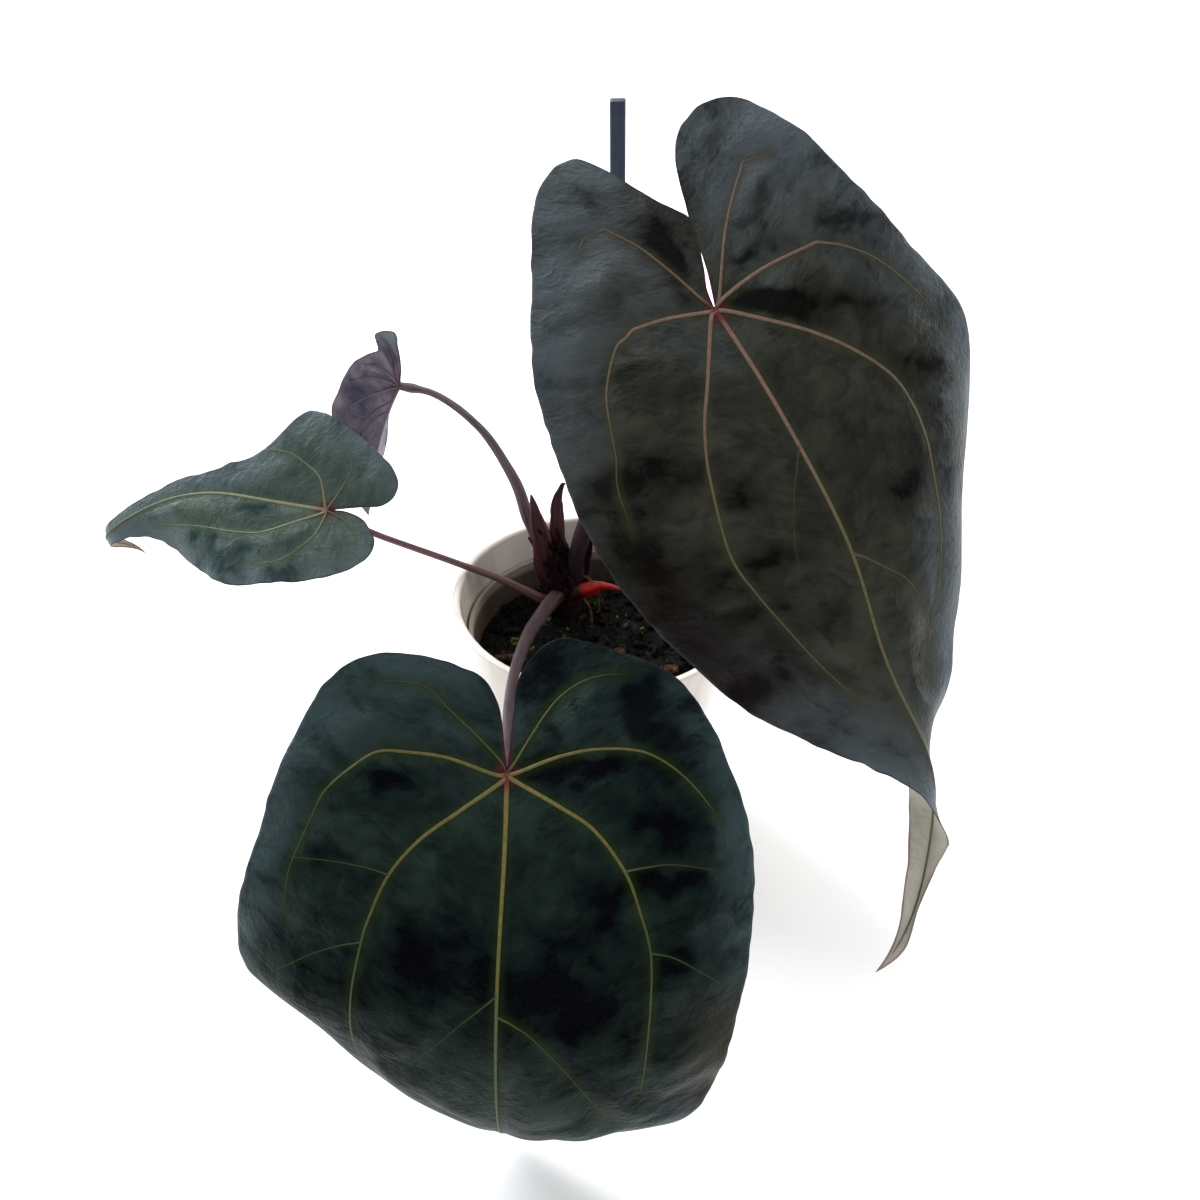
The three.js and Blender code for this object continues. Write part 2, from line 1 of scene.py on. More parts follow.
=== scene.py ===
# %% [markdown]
# # A potted anthurium hybrid
# Four velvety leaves stand on long stalks above a short stem. The stem grows in a dark mix of bark,
# in a thin plastic pot inside a glossy white one. A square stake stands behind the largest leaf.
# Each cell makes one piece or one finish. All pieces are surfaces worked out with numpy.

# %% Load the frame
from math import pi

import bpy
import numpy as np
from mathutils import Matrix, Vector


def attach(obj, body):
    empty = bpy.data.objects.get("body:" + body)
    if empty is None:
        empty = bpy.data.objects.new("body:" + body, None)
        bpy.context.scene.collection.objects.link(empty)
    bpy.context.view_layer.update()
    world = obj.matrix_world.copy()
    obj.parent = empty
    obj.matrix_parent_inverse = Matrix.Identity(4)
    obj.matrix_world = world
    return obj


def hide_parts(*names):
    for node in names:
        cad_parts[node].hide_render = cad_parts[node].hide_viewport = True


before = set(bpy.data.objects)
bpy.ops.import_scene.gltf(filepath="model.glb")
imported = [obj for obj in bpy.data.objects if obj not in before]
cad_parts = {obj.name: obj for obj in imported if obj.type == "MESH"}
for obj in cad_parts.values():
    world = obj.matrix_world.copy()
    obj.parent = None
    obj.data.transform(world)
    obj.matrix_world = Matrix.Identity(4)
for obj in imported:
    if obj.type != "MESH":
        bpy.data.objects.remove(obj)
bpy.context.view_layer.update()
print("nodes in the frame:", sorted(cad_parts))

# %% [markdown]
# ## The camera
# The photograph looks down at the plant from the front. The angles, the distance and the lens were
# found from the ellipse of the pot's rim. The camera rolls a little to the side, as a hand does.

# %% Camera
MM = 0.001
CAMERA_PLACE = (0.351, -439.23, 453.30)
LOOK_DOWN = np.radians(37.40)
ROLL = np.radians(2.256)


def place_camera():
    """The view direction looks down by one angle. Right and up are then turned by the roll."""
    ahead = Vector((0, np.cos(LOOK_DOWN), -np.sin(LOOK_DOWN)))
    up = Vector((0, np.sin(LOOK_DOWN), np.cos(LOOK_DOWN)))
    right = Vector((1, 0, 0))
    side = right * np.cos(ROLL) + up * np.sin(ROLL)
    top = up * np.cos(ROLL) - right * np.sin(ROLL)
    data = bpy.data.cameras.new("camera")
    data.lens = 37.5
    data.sensor_width = 36
    camera = bpy.data.objects.new("camera", data)
    bpy.context.collection.objects.link(camera)
    turn = Matrix((side, top, -ahead)).transposed().to_4x4()
    camera.matrix_world = Matrix.Translation(Vector(CAMERA_PLACE) * MM) @ turn
    bpy.context.scene.camera = camera


place_camera()

# %% [markdown]
# ## Helpers for shapes
# A leaf is bent by lists of angles, one for each step along its midrib. A smooth curve through the
# numbers of a list gives the angle anywhere between. The same curve draws margins, veins and stalks.


# %% Curves and noise
def along(values, place):
    """The Catmull-Rom curve through a list of numbers or points, at a place counted in its entries.

    Between entries b and c, with a before and d after, and f from 0 to 1 between them, it is
    b + f/2 (c - a + f (2a - 5b + 4c - d + f (3(b - c) + d - a))). The ends are mirrored.
    """
    v = np.asarray(values, float)
    v = np.concatenate([[2 * v[0] - v[1]], v, [2 * v[-1] - v[-2]]])
    place = np.clip(np.asarray(place, float), 0, len(v) - 3)
    i = np.minimum(place.astype(int), len(v) - 4)
    f = place - i
    if v.ndim > 1:
        f = f[..., None]
    a, b, c, d = v[i], v[i + 1], v[i + 2], v[i + 3]
    return b + 0.5 * f * (c - a + f * (2 * a - 5 * b + 4 * c - d + f * (3 * (b - c) + d - a)))


def soft_noise(x, y, seed):
    """Random heights from -1 to 1 on a grid of whole numbers, with smooth hills between them."""
    table = np.random.default_rng(seed).uniform(-1, 1, (64, 64))
    i, j = np.floor(x).astype(int), np.floor(y).astype(int)
    u, v = x - i, y - j
    u, v = u * u * (3 - 2 * u), v * v * (3 - 2 * v)
    low = table[i % 64, j % 64] * (1 - u) + table[(i + 1) % 64, j % 64] * u
    high = table[i % 64, (j + 1) % 64] * (1 - u) + table[(i + 1) % 64, (j + 1) % 64] * u
    return low * (1 - v) + high * v


def unit(v):
    """Vectors shortened or stretched to length 1."""
    return v / np.maximum(np.linalg.norm(v, axis=-1, keepdims=True), 1e-9)


# %% [markdown]
# Each piece is a grid of points in millimetres. One helper makes the faces of a grid, another welds
# equal points and puts the result into a mesh, with its numbers as attributes for the materials.


# %% Meshes
def grid_faces(rows, columns, first=0, wrap=False):
    """Two triangles for each cell of a grid. With wrap, the last column joins the first."""
    i, j = np.meshgrid(np.arange(rows - 1), np.arange(columns - (not wrap)), indexing="ij")
    k = (j + 1) % columns
    a, b = first + i * columns + j, first + i * columns + k
    c, d = a + columns, b + columns
    return np.concatenate([np.stack([a, b, d], -1), np.stack([a, d, c], -1)]).reshape(-1, 3)


def weld(points, faces):
    """Joins equal points. Returns the kept points' numbers, the new faces and which faces are kept."""
    key = np.round(points * 1e4).astype(np.int64)
    _, kept, new = np.unique(key, axis=0, return_index=True, return_inverse=True)
    faces = new.reshape(-1)[faces]
    good = (faces[:, 0] != faces[:, 1]) & (faces[:, 1] != faces[:, 2]) & (faces[:, 2] != faces[:, 0])
    return kept, faces[good], good


def make_piece(name, points, faces, materials, slots=None, numbers=None, nodes=(), finish=None):
    """A mesh object from points in millimetres and triangles. It rides on the root body."""
    kept, faces, good = weld(points, faces)
    mesh = bpy.data.meshes.new(name)
    mesh.vertices.add(len(kept))
    mesh.vertices.foreach_set("co", (points[kept] * MM).astype(np.float32).ravel())
    mesh.loops.add(faces.size)
    mesh.loops.foreach_set("vertex_index", faces.astype(np.int32).ravel())
    mesh.polygons.add(len(faces))
    mesh.polygons.foreach_set("loop_start", np.arange(0, faces.size, 3, dtype=np.int32))
    mesh.update(calc_edges=True)
    mesh.polygons.foreach_set("use_smooth", np.ones(len(faces), bool))
    for material in materials:
        mesh.materials.append(material)
    if slots is not None:
        mesh.polygons.foreach_set("material_index", slots[good].astype(np.int32))
    for label, values in (numbers or {}).items():
        kind, key = ("FLOAT", "value") if values.ndim == 1 else ("FLOAT_VECTOR", "vector")
        layer = mesh.attributes.new(label, kind, "POINT")
        layer.data.foreach_set(key, values[kept].astype(np.float32).ravel())
    piece = bpy.data.objects.new(name, mesh)
    bpy.context.collection.objects.link(piece)
    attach(piece, "root")
    if nodes:
        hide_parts(*nodes)
    print(f"{name}: {len(faces)} triangles")
    return piece


def tube(path, radii, sides=20, rings=120, flat=None, facing=(0.3, -1, 0.2), section=None):
    """A closed tube. Its centre runs on a smooth curve through path, and its radius through radii.

    Each ring is centre + r (cos a) side + r (sin a) top, where side and top are square to the curve.
    Flat multiplies the top part. Section may change r, as a function of the angle and of the length.
    Returns the points, the faces, each point's length along the curve from 0 to 1, and a place for
    its grain: the angle as a point of a circle, and the length in millimetres.
    """
    t = np.linspace(0, 1, rings)
    centre = along(path, t * (len(path) - 1))
    ahead = unit(np.gradient(centre, axis=0))
    side = unit(np.cross(np.array(facing, float), ahead))
    top = np.cross(ahead, side)
    r = np.maximum(along(radii, t * (len(radii) - 1)), 0.05)[:, None]
    a = np.linspace(0, 2 * pi, sides, endpoint=False)[None, :]
    if section is not None:
        r = r * section(a, t[:, None])
    depth = 1 if flat is None else flat
    body = (centre[:, None] + side[:, None] * (r * np.cos(a))[..., None]
            + top[:, None] * (r * depth * np.sin(a))[..., None])
    ends = [np.repeat(centre[k][None, None], sides, axis=1) for k in (0, -1)]
    body = np.concatenate([ends[0], body, ends[1]])
    length = np.repeat(np.concatenate([[0], t, [1]]), sides)
    span = np.linalg.norm(np.diff(centre, axis=0), axis=1).sum()
    around = np.tile(a.ravel(), rings + 2)
    grain = np.stack([2 * np.cos(around), 2 * np.sin(around), length * span], -1)
    return body.reshape(-1, 3), grid_faces(rings + 2, sides, wrap=True), length, grain


def join_parts(parts):
    """Puts several (points, faces, numbers...) together as one."""
    points, faces, start = [], [], 0
    for part in parts:
        points.append(part[0])
        faces.append(part[1] + start)
        start += len(part[0])
    extra = [np.concatenate([part[k] for part in parts]) for k in range(2, len(parts[0]))]
    return (np.concatenate(points), np.concatenate(faces), *extra)


# %% [markdown]
# ## Helpers for finishes
# Every finish is a small network of nodes. Colours are written as they look on a screen, from 0 to
# 255, and turned into the light values that Blender works with.


# %% Node helpers
def colour(red, green, blue):
    """A screen colour as linear light."""
    c = np.array([red, green, blue]) / 255
    linear = np.where(c <= 0.04045, c / 12.92, ((c + 0.055) / 1.055) ** 2.4)
    return (*linear.tolist(), 1.0)


class Nodes:
    """Adds nodes to a tree and links them. An input may be a plain value or another node's output."""

    def __init__(self, tree):
        self.tree = tree

    def add(self, kind, output=0, settings=None, **inputs):
        node = self.tree.nodes.new(kind)
        for key, value in (settings or {}).items():
            setattr(node, key, value)
        for key, value in inputs.items():
            socket = node.inputs[int(key[1:]) if key[1:].isdigit() else key.replace("_", " ")]
            if isinstance(value, bpy.types.NodeSocket):
                self.tree.links.new(value, socket)
            else:
                socket.default_value = value
        return node.outputs[output]

    def maths(self, operation, a, b=0.0):
        return self.add("ShaderNodeMath", settings={"operation": operation}, i0=a, i1=b)

    def mix(self, mask, a, b, blend="MIX"):
        return self.add("ShaderNodeMix", 2, {"data_type": "RGBA", "blend_type": blend}, i0=mask, i6=a, i7=b)

    def ramp(self, value, low, high, to_low=0.0, to_high=1.0):
        return self.add("ShaderNodeMapRange", settings={"interpolation_type": "SMOOTHSTEP"},
                        i0=value, i1=low, i2=high, i3=to_low, i4=to_high)

    def number(self, name):
        return self.add("ShaderNodeAttribute", 2, {"attribute_name": name})

    def vector(self, name):
        return self.add("ShaderNodeAttribute", 1, {"attribute_name": name})

    def object_place(self):
        return self.add("ShaderNodeTexCoord", 3)

    def noise(self, scale, detail=3.0, rough=0.5, place=None):
        place = place or self.object_place()
        return self.add("ShaderNodeTexNoise", Vector=place, Scale=scale, Detail=detail, Roughness=rough)

    def bump(self, height, strength, distance, before=None):
        more = {"Normal": before} if before else {}
        return self.add("ShaderNodeBump", Height=height, Strength=strength, Distance=distance, **more)


def new_finish(name, build, **plain):
    """A material whose Principled shader gets plain values, and links from what build returns."""
    material = bpy.data.materials.new(name)
    material.use_nodes = True
    tree = material.node_tree
    shader = tree.nodes["Principled BSDF"]
    for key, value in plain.items():
        shader.inputs[key.replace("_", " ")].default_value = value
    for key, socket in build(Nodes(tree)).items():
        tree.links.new(socket, shader.inputs[key.replace("_", " ")])
    return material


def new_group(name, inputs, outputs, build):
    """A node group: build gets the group's nodes and its inputs, and returns its outputs by name."""
    tree = bpy.data.node_groups.new(name, "ShaderNodeTree")
    for label, kind, value in inputs:
        socket = tree.interface.new_socket(label, in_out="INPUT", socket_type=kind)
        if value is not None:
            socket.default_value = value
    for label, kind in outputs:
        tree.interface.new_socket(label, in_out="OUTPUT", socket_type=kind)
    start, end = tree.nodes.new("NodeGroupInput"), tree.nodes.new("NodeGroupOutput")
    results = build(Nodes(tree), {s.name: s for s in start.outputs if s.name})
    for label, socket in results.items():
        tree.links.new(socket, end.inputs[label])
    return tree


def use_group(nodes, group, output, **inputs):
    """Places a group in a material with its own values, and returns the named output."""
    node = nodes.tree.nodes.new("ShaderNodeGroup")
    node.node_tree = group
    for key, value in inputs.items():
        socket = node.inputs[key.replace("_", " ")]
        if isinstance(value, bpy.types.NodeSocket):
            nodes.tree.links.new(value, socket)
        else:
            socket.default_value = value
    return node.outputs[output]


# %% [markdown]
# ## Leaf finish
# Leaf colour is never even. Wrinkles run outward between the veins, and a net of the finest veins
# covers all. Hollows and creases are painted darker and raised folds lighter, as painted shade. One
# group makes this for every leaf, with the leaf's own colours.


# %% The leaf skin group
def build_skin(n, i):
    """Wrinkles and streaks of two noises, in flat leaf millimetres, shift the painted shade of the relief.

    Long creases follow the lines where a third, smooth noise is 0.5, and are painted darker. The painted
    shade picks between three colours. The same noises and a net of fine veins give the height, so the
    colour is painted lighter where the bump rises and darker where it sinks.
    """
    wrinkle = n.add("ShaderNodeTexNoise", Vector=i["Flat"], Scale=0.085, Detail=5.0, Roughness=0.62,
                    Distortion=0.7)
    long = n.add("ShaderNodeMapping", Vector=i["Flat"], Scale=(0.075, 0.17, 1.0))
    streak = n.add("ShaderNodeTexNoise", Vector=long, Scale=1.0, Detail=4.0, Roughness=0.58, Distortion=0.9)
    felt = n.add("ShaderNodeTexNoise", Vector=i["Flat"], Scale=0.45, Detail=4.0, Roughness=0.65)
    folds = n.maths("ADD", n.maths("MULTIPLY", wrinkle, 0.62), n.maths("MULTIPLY", streak, 0.24))
    folds = n.maths("ADD", folds, n.maths("MULTIPLY", felt, 0.14))
    # Painted shade: the colour turns lighter where the folds noise rises and darker where it sinks.
    shift = n.maths("MULTIPLY", n.maths("SUBTRACT", folds, 0.5), i["Folds"])
    calm = n.add("ShaderNodeTexNoise", Vector=long, Scale=1.15, Detail=1.2, Roughness=0.4, Distortion=0.5)
    line = n.maths("ABSOLUTE", n.maths("SUBTRACT", calm, 0.5))
    crease = n.maths("MULTIPLY", n.ramp(line, 0.0, 0.1, 1.0, 0.0), n.ramp(wrinkle, 0.38, 0.56, 1.0, 0.0))
    # Painted shade in the creases: they are painted darker.
    shift = n.maths("SUBTRACT", shift, n.maths("MULTIPLY", crease, 0.13))
    shade = n.add("ShaderNodeClamp", Value=n.maths("ADD", i["Shade"], shift))
    net = n.add("ShaderNodeTexVoronoi", settings={"feature": "DISTANCE_TO_EDGE"}, Vector=i["Flat"], Scale=0.3)
    grain = n.add("ShaderNodeTexNoise", Vector=i["Flat"], Scale=1.6, Detail=3.0, Roughness=0.6)
    # The painted shade picks the deep colour in hollows and the light colour on raised folds.
    tint = n.mix(n.ramp(shade, 0.0, 0.5), i["Deep"], i["Dark"])
    tint = n.mix(n.ramp(shade, 0.45, 1.0), tint, i["Light"])
    tint = n.mix(n.maths("MULTIPLY", n.ramp(net, 0.0, 0.1, 1.0, 0.0), 0.04), tint, i["Light"])
    tint = n.mix(n.ramp(grain, 0.35, 0.65, 0.0, 0.1), tint, i["Light"])
    height = n.maths("ADD", folds, n.maths("MULTIPLY", n.ramp(net, 0.0, 0.25), 0.06))
    height = n.maths("SUBTRACT", height, n.maths("MULTIPLY", crease, 0.07))
    return {"Color": tint, "Height": n.maths("ADD", height, n.maths("MULTIPLY", grain, 0.05)), "Shade": shade}


# The default colours are deep, dark and light, and the painted shade picks between them.
LEAF_SKIN = new_group("leaf_skin", [
    ("Flat", "NodeSocketVector", None), ("Shade", "NodeSocketFloat", 0.5), ("Folds", "NodeSocketFloat", 1.7),
    ("Deep", "NodeSocketColor", colour(8, 9, 9)), ("Dark", "NodeSocketColor", colour(20, 24, 22)),
    ("Light", "NodeSocketColor", colour(50, 54, 50))], [
    ("Color", "NodeSocketColor"), ("Height", "NodeSocketFloat"), ("Shade", "NodeSocketFloat")], build_skin)


# %% Blade finishes
def blade_finish(name, deep, dark, light, halo, rim, low=None, folds=1.3, shine=(0.02, 0.24), hem=None,
                 **plain):
    """The skin with painted shade, a halo beside the veins, painted sheen at the margin, crimson at the foot.

    Low is the colour of a patch near the margin: painted shade on the big leaf's left margin, painted
    sheen on the young leaf's lobe, and brown on the front leaf's right margin. A face with a hem has a
    narrow band of the rim colour along the margin in place of the painted sheen. The hollows shine less,
    because the velvet's short hairs turn away from the eye there.
    """
    def build(n):
        values = {"Flat": n.vector("flat"), "Shade": n.number("shade"), "Folds": folds,
                  "Deep": colour(*deep), "Dark": colour(*dark), "Light": colour(*light)}
        # The skin's colour carries the painted shade of the relief.
        tint = use_group(n, LEAF_SKIN, "Color", **values)
        height = use_group(n, LEAF_SKIN, "Height", **values)
        shade = use_group(n, LEAF_SKIN, "Shade", **values)
        edge, foot = n.number("rim"), n.number("foot")
        # Painted sheen: the rim colour near the margin stands for light that the velvet reflects, weaker in painted
        # shade.
        reach = n.ramp(edge, 0.0, hem, 0.95, 0.0) if hem else n.number("painted_sheen")
        tint = n.mix(n.maths("MULTIPLY", reach, n.ramp(shade, 0.1, 0.8, 0.2, 1.0)), tint, colour(*rim))
        # The low patch: painted shade on the big leaf, painted sheen on the young leaf, brown on the front leaf.
        if low:
            patch = n.maths("MULTIPLY", n.number("low"), n.ramp(edge, 6.0, 42.0, 0.9, 0.0))
            tint = n.mix(patch, tint, colour(*low))
        tint = n.mix(n.ramp(n.number("vein"), 0.4, 3.8, 0.45, 0.0), tint, colour(*halo))
        slit = n.maths("MULTIPLY", n.ramp(foot, 7.0, 20.0, 0.7, 0.0), n.ramp(edge, 0.2, 1.6, 1.0, 0.0))
        crimson = n.maths("MAXIMUM", slit, n.ramp(foot, 1.5, 5.5, 0.85, 0.0))
        tint = n.mix(crimson, tint, colour(96, 16, 36))
        tint = n.mix(n.ramp(edge, 0.0, 1.1, 0.75, 0.0), tint, colour(44, 30, 36))
        return {"Base_Color": tint, "Specular_IOR_Level": n.ramp(shade, 0.0, 1.0, *shine),
                "Normal": n.bump(height, 0.65, 0.002)}
    return new_finish(name, build, **plain)


VELVET = {"Roughness": 0.42, "Sheen_Weight": 0.015, "Sheen_Roughness": 0.3}
# Colours: deep, dark and light for the painted shade, the vein halo, the rim colour of the painted sheen, and the low
# patch; then the folds' strength in the painted shade, and the shine.
UPPER = {
    "big": blade_finish("velvet_big", (8, 8, 9), (34, 35, 29), (56, 57, 46), (58, 58, 38), (78, 87, 93),
                        (22, 15, 11), 1.3, (0.02, 0.18), **VELVET),
    "front": blade_finish("velvet_front", (5, 3, 8), (12, 25, 23), (32, 47, 41), (38, 50, 16), (54, 69, 72),
                          (46, 40, 28), 1.5, (0.01, 0.1), **VELVET),
    "left": blade_finish("velvet_left", (34, 50, 52), (58, 74, 68), (80, 91, 81), (74, 88, 66),
                         (88, 101, 107), None, 1.5, (0.02, 0.18), **VELVET),
    "young": blade_finish("velvet_young", (48, 42, 58), (76, 69, 85), (112, 102, 114), (96, 86, 100),
                          (118, 108, 116), (134, 144, 152), 1.7, **VELVET),
}
SATIN = {"Roughness": 0.46, "Sheen_Weight": 0.05}
# On the undersides the rim colour is a narrow band along the margin, as wide as the hem.
UNDER = {
    "big": blade_finish("under_big", (152, 149, 135), (168, 166, 151), (186, 183, 168), (160, 155, 142),
                        (172, 150, 148), None, 0.9, (0.2, 0.3), 2.4, **SATIN),
    "front": blade_finish("under_front", (84, 76, 80), (104, 96, 98), (124, 116, 116), (124, 108, 104),
                          (110, 104, 112), None, 0.9, (0.2, 0.3), 3.0, **SATIN),
    "left": blade_finish("under_left", (150, 142, 128), (168, 160, 146), (184, 176, 160), (160, 146, 134),
                         (168, 152, 144), None, 0.9, (0.2, 0.3), 3.0, **SATIN),
    "young": blade_finish("under_young", (46, 48, 70), (82, 76, 95), (128, 121, 132), (70, 64, 84),
                          (124, 115, 126), (134, 144, 152), 1.9, (0.2, 0.4), 3.5, **SATIN),
}


def vein_finish(name, foot, middle, end, skin):
    """A vein's colour runs from dark red at the foot of the leaf to the colour of its thin end.

    Across the vein, the colour fades into the skin of the leaf, so no hard line shows.
    """
    def build(n):
        run = n.number("run")
        tint = n.mix(n.ramp(run, 0.015, 0.08), colour(*foot), colour(*middle))
        tint = n.mix(n.ramp(run, 0.3, 0.9), tint, colour(*end))
        tint = n.mix(n.ramp(n.noise(700.0), 0.35, 0.65, 0.0, 0.3), tint, colour(*skin))
        fade = n.maths("MAXIMUM", n.ramp(n.number("edge"), 0.45, 1.0, 0.0, 0.9), n.number("faint"))
        return {"Base_Color": n.mix(fade, tint, colour(*skin)), "Normal": n.bump(n.noise(1500.0), 0.2, 0.0003)}
    return new_finish(name, build, Roughness=0.45, Specular_IOR_Level=0.35)


VEINS = {
    "big": vein_finish("vein_big", (104, 18, 38), (132, 102, 88), (106, 100, 66), (46, 46, 36)),
    "front": vein_finish("vein_front", (108, 18, 40), (120, 110, 52), (82, 88, 38), (22, 34, 18)),
    "left": vein_finish("vein_left", (150, 104, 92), (146, 142, 112), (96, 108, 92), (74, 88, 72)),
    "young": vein_finish("vein_young", (80, 58, 72), (140, 130, 138), (160, 152, 160), (110, 98, 110)),
}
LEAF_EDGE = new_finish("leaf_edge", lambda n: {"Base_Color": n.mix(
    n.noise(160.0), colour(58, 42, 44), colour(84, 66, 62))}, Roughness=0.5)

# %% [markdown]
# ## The four blades
# A blade is drawn flat first, with x across the midrib and y from the foot to the tip, so the two
# lobes have y below 0. Then it bends. Droop bends the midrib down, sweep bends it sideways, rise
# lifts a half like a page, and curl rolls a half, fully at the distance named half. Turn twists the
# tip over, as on the big leaf, where the pale underside comes to the front.

# %% Blade sizes and outlines
LEAVES = {
    "big": dict(
        foot=(37, -27, 268), facing=0, tilt=52, spin=34, start=-80, step=40, length=272, half=80,
        droop=[-10, -8, -6, -2, 2, 6, 4, 34, 4, 34],
        sweep=[7, 4, 2, -2, -5, -15, -5, -26, -48, -74],
        rise=([10, 10, 10, 8, 4, 0, -24, -30, -24, -10], [8, 8, 8, 5, 5, -2, -27, -30, -24, -10]),
        curl=([-20, -20, -25, -30, -30, -30, -30, -20, 0, 0],
              [-25, -28, -34, -32, -101, -203, -115, -20, 0, 0]),
        turn=(-180, 150, 230), wave=(1.4, 38, 0.4), lobes=((8, 12.33), (6, 10.56)),
        margins=([(0, 0), (2.1, -8), (6.7, -17), (13, -33), (8, -44.5), (3, -57), (-2.5, -70),
                  (-8.5, -77.5), (-20, -77), (-32.5, -68), (-51, -42), (-62, -25), (-70, -9), (-77, 18),
                  (-81, 45), (-80, 70), (-74, 103), (-66, 121), (-53.5, 138.5), (-39, 154), (-23, 169),
                  (-12, 183), (-9, 192), (-9.5, 202), (-8, 213), (-3.5, 228), (-1.5, 243), (-3, 258),
                  (0, 272)],
                 [(0, 0), (3.4, -8), (6.8, -17), (12, -34), (20.5, -53), (29.5, -61), (41.5, -62.5),
                  (52, -56.5), (58.5, -45), (64, -29), (67, -11), (70, 8), (73.5, 26), (77, 41),
                  (78, 56), (73, 72), (60, 88), (50, 103), (42, 119), (34, 138), (26, 157), (19, 175),
                  (12, 190), (9, 203), (8.5, 218), (8, 233), (4.5, 247), (2, 258), (0, 272)])),
    "front": dict(
        foot=(-28, -147.5, 156.6), facing=0, tilt=42, spin=-2, start=-80, step=40, length=178, half=80,
        droop=[0, 0, 0, 6, 22, 50, 85, 112], sweep=[2, 3, 4, 1, 2, 3, 3, 2],
        rise=([8, 8, 8, 6, 4, -5, -22, -10], [8, 8, 8, 6, 4, 2, 0, 0]),
        curl=([-25, -25, -30, -30, -44, -106, -121, -100], [-25, -25, -30, -35, -32, -33, -18, -29]),
        turn=None, wave=(1.2, 36, 1.8), lobes=((6.5, 10.17), (5.5, 10.2)),
        margins=([(0, 0), (-2, -18), (-4.5, -26), (-9, -32), (-18, -36), (-30, -39), (-42, -39),
                  (-52, -36), (-61, -29), (-69, -17), (-76, -3), (-82, 15), (-87, 34), (-92, 50),
                  (-94, 64), (-91, 77), (-83, 89), (-72, 102), (-60, 116), (-46, 133), (-30, 151),
                  (-13, 167), (0, 178)],
                 [(0, 0), (1.5, -18), (3, -31), (8, -40), (16, -45.5), (25, -45), (36, -41.5),
                  (49, -37), (60, -29), (68, -17), (74, -3.5), (81, 12), (85, 29), (86, 48), (84, 67), (81, 88),
                  (78, 107), (74, 126), (64, 140), (48, 151), (31, 161), (13, 171), (0, 178)])),
    "left": dict(
        foot=(-117, 2, 158), facing=-8, tilt=44, spin=-84, start=-40, step=20, length=136, half=40,
        droop=[-4, -4, -2, 2, 6, 8, 8, 12, 110, 185], sweep=[-4, -6, -8, -9, -9, 4, 20, 32, 10, -56],
        rise=([10, 10, 8, 8, 6, 2, -4, -10, -10, -10], [8, 8, 8, 8, 6, 2, -4, -10, -10, -10]),
        curl=([-8, -8, -8, -9, -10, -10, -10, -10, -10, -10], [-8, -8, -8, -10, -13, -13, -10, -10, -10, -10]),
        turn=None, wave=(0.9, 24, 2.6), lobes=((4.5, 7.82), (4.3, 7.9)),
        margins=([(0, 0), (-3.5, -15), (-5, -23), (-9, -28), (-15, -29.5), (-21, -27), (-28, -19),
                  (-34, -9), (-39, 2), (-42, 12), (-39, 19), (-30, 26), (-20, 35), (-14, 46), (-10, 57),
                  (-8, 68), (-6, 80), (-5, 92), (-4, 104), (-3, 114), (-2, 124), (0, 136)],
                 [(0, 0), (-1, -8), (1, -15.5), (6, -20.5), (11, -23), (17, -22), (23, -17), (28, -9),
                  (32, 1), (35, 13), (38, 26), (39, 37), (36, 50), (30, 66), (22, 77), (14, 87), (9, 96),
                  (6, 105), (4, 114), (2, 124), (0, 136)])),
    "young": dict(
        foot=(-94, 66, 184), facing=-100, tilt=80, spin=0, start=-20, step=20, length=70, half=30,
        droop=[-20, -16, -8, -2, 2, 4], sweep=[6, 8, 10, 8, 4, 0],
        rise=([60, 45, 5, -8, 0, 10], [60, 56, 52, 52, 56, 60]),
        curl=([120, 110, 110, 110, 100, 60], [30, 30, 40, 50, 60, 60]),
        turn=None, wave=(0.7, 17, 0), lobes=((7, 11.86), (4, 8.57)),
        margins=([(0, 0), (-3.5, -6), (-6, -9), (-9, -12), (-11.5, -14.5), (-13, -17), (-15.5, -18.5),
                  (-19, -17), (-21.5, -15), (-22.5, -12.5), (-21, -10), (-19.5, -6), (-23, 1), (-27, 9),
                  (-27.5, 20), (-24, 33), (-18, 46), (-10, 58), (0, 70)],
                 [(0, 0), (4, -5), (8.5, -9.5), (12.5, -12.5), (14.5, -14), (17, -13), (21, -9),
                  (24, -5), (24.5, -2), (25, 1.5), (26, 8), (26, 14), (24.5, 24), (21, 36), (16, 48),
                  (9, 58), (0, 70)])),
}

# %% [markdown]
# The veins are drawn flat too. The midrib runs from the foot to the tip. The others leave the foot
# in pairs and curve round to the margin, and smaller ones branch off. Each has its half width at
# the start, in millimetres.

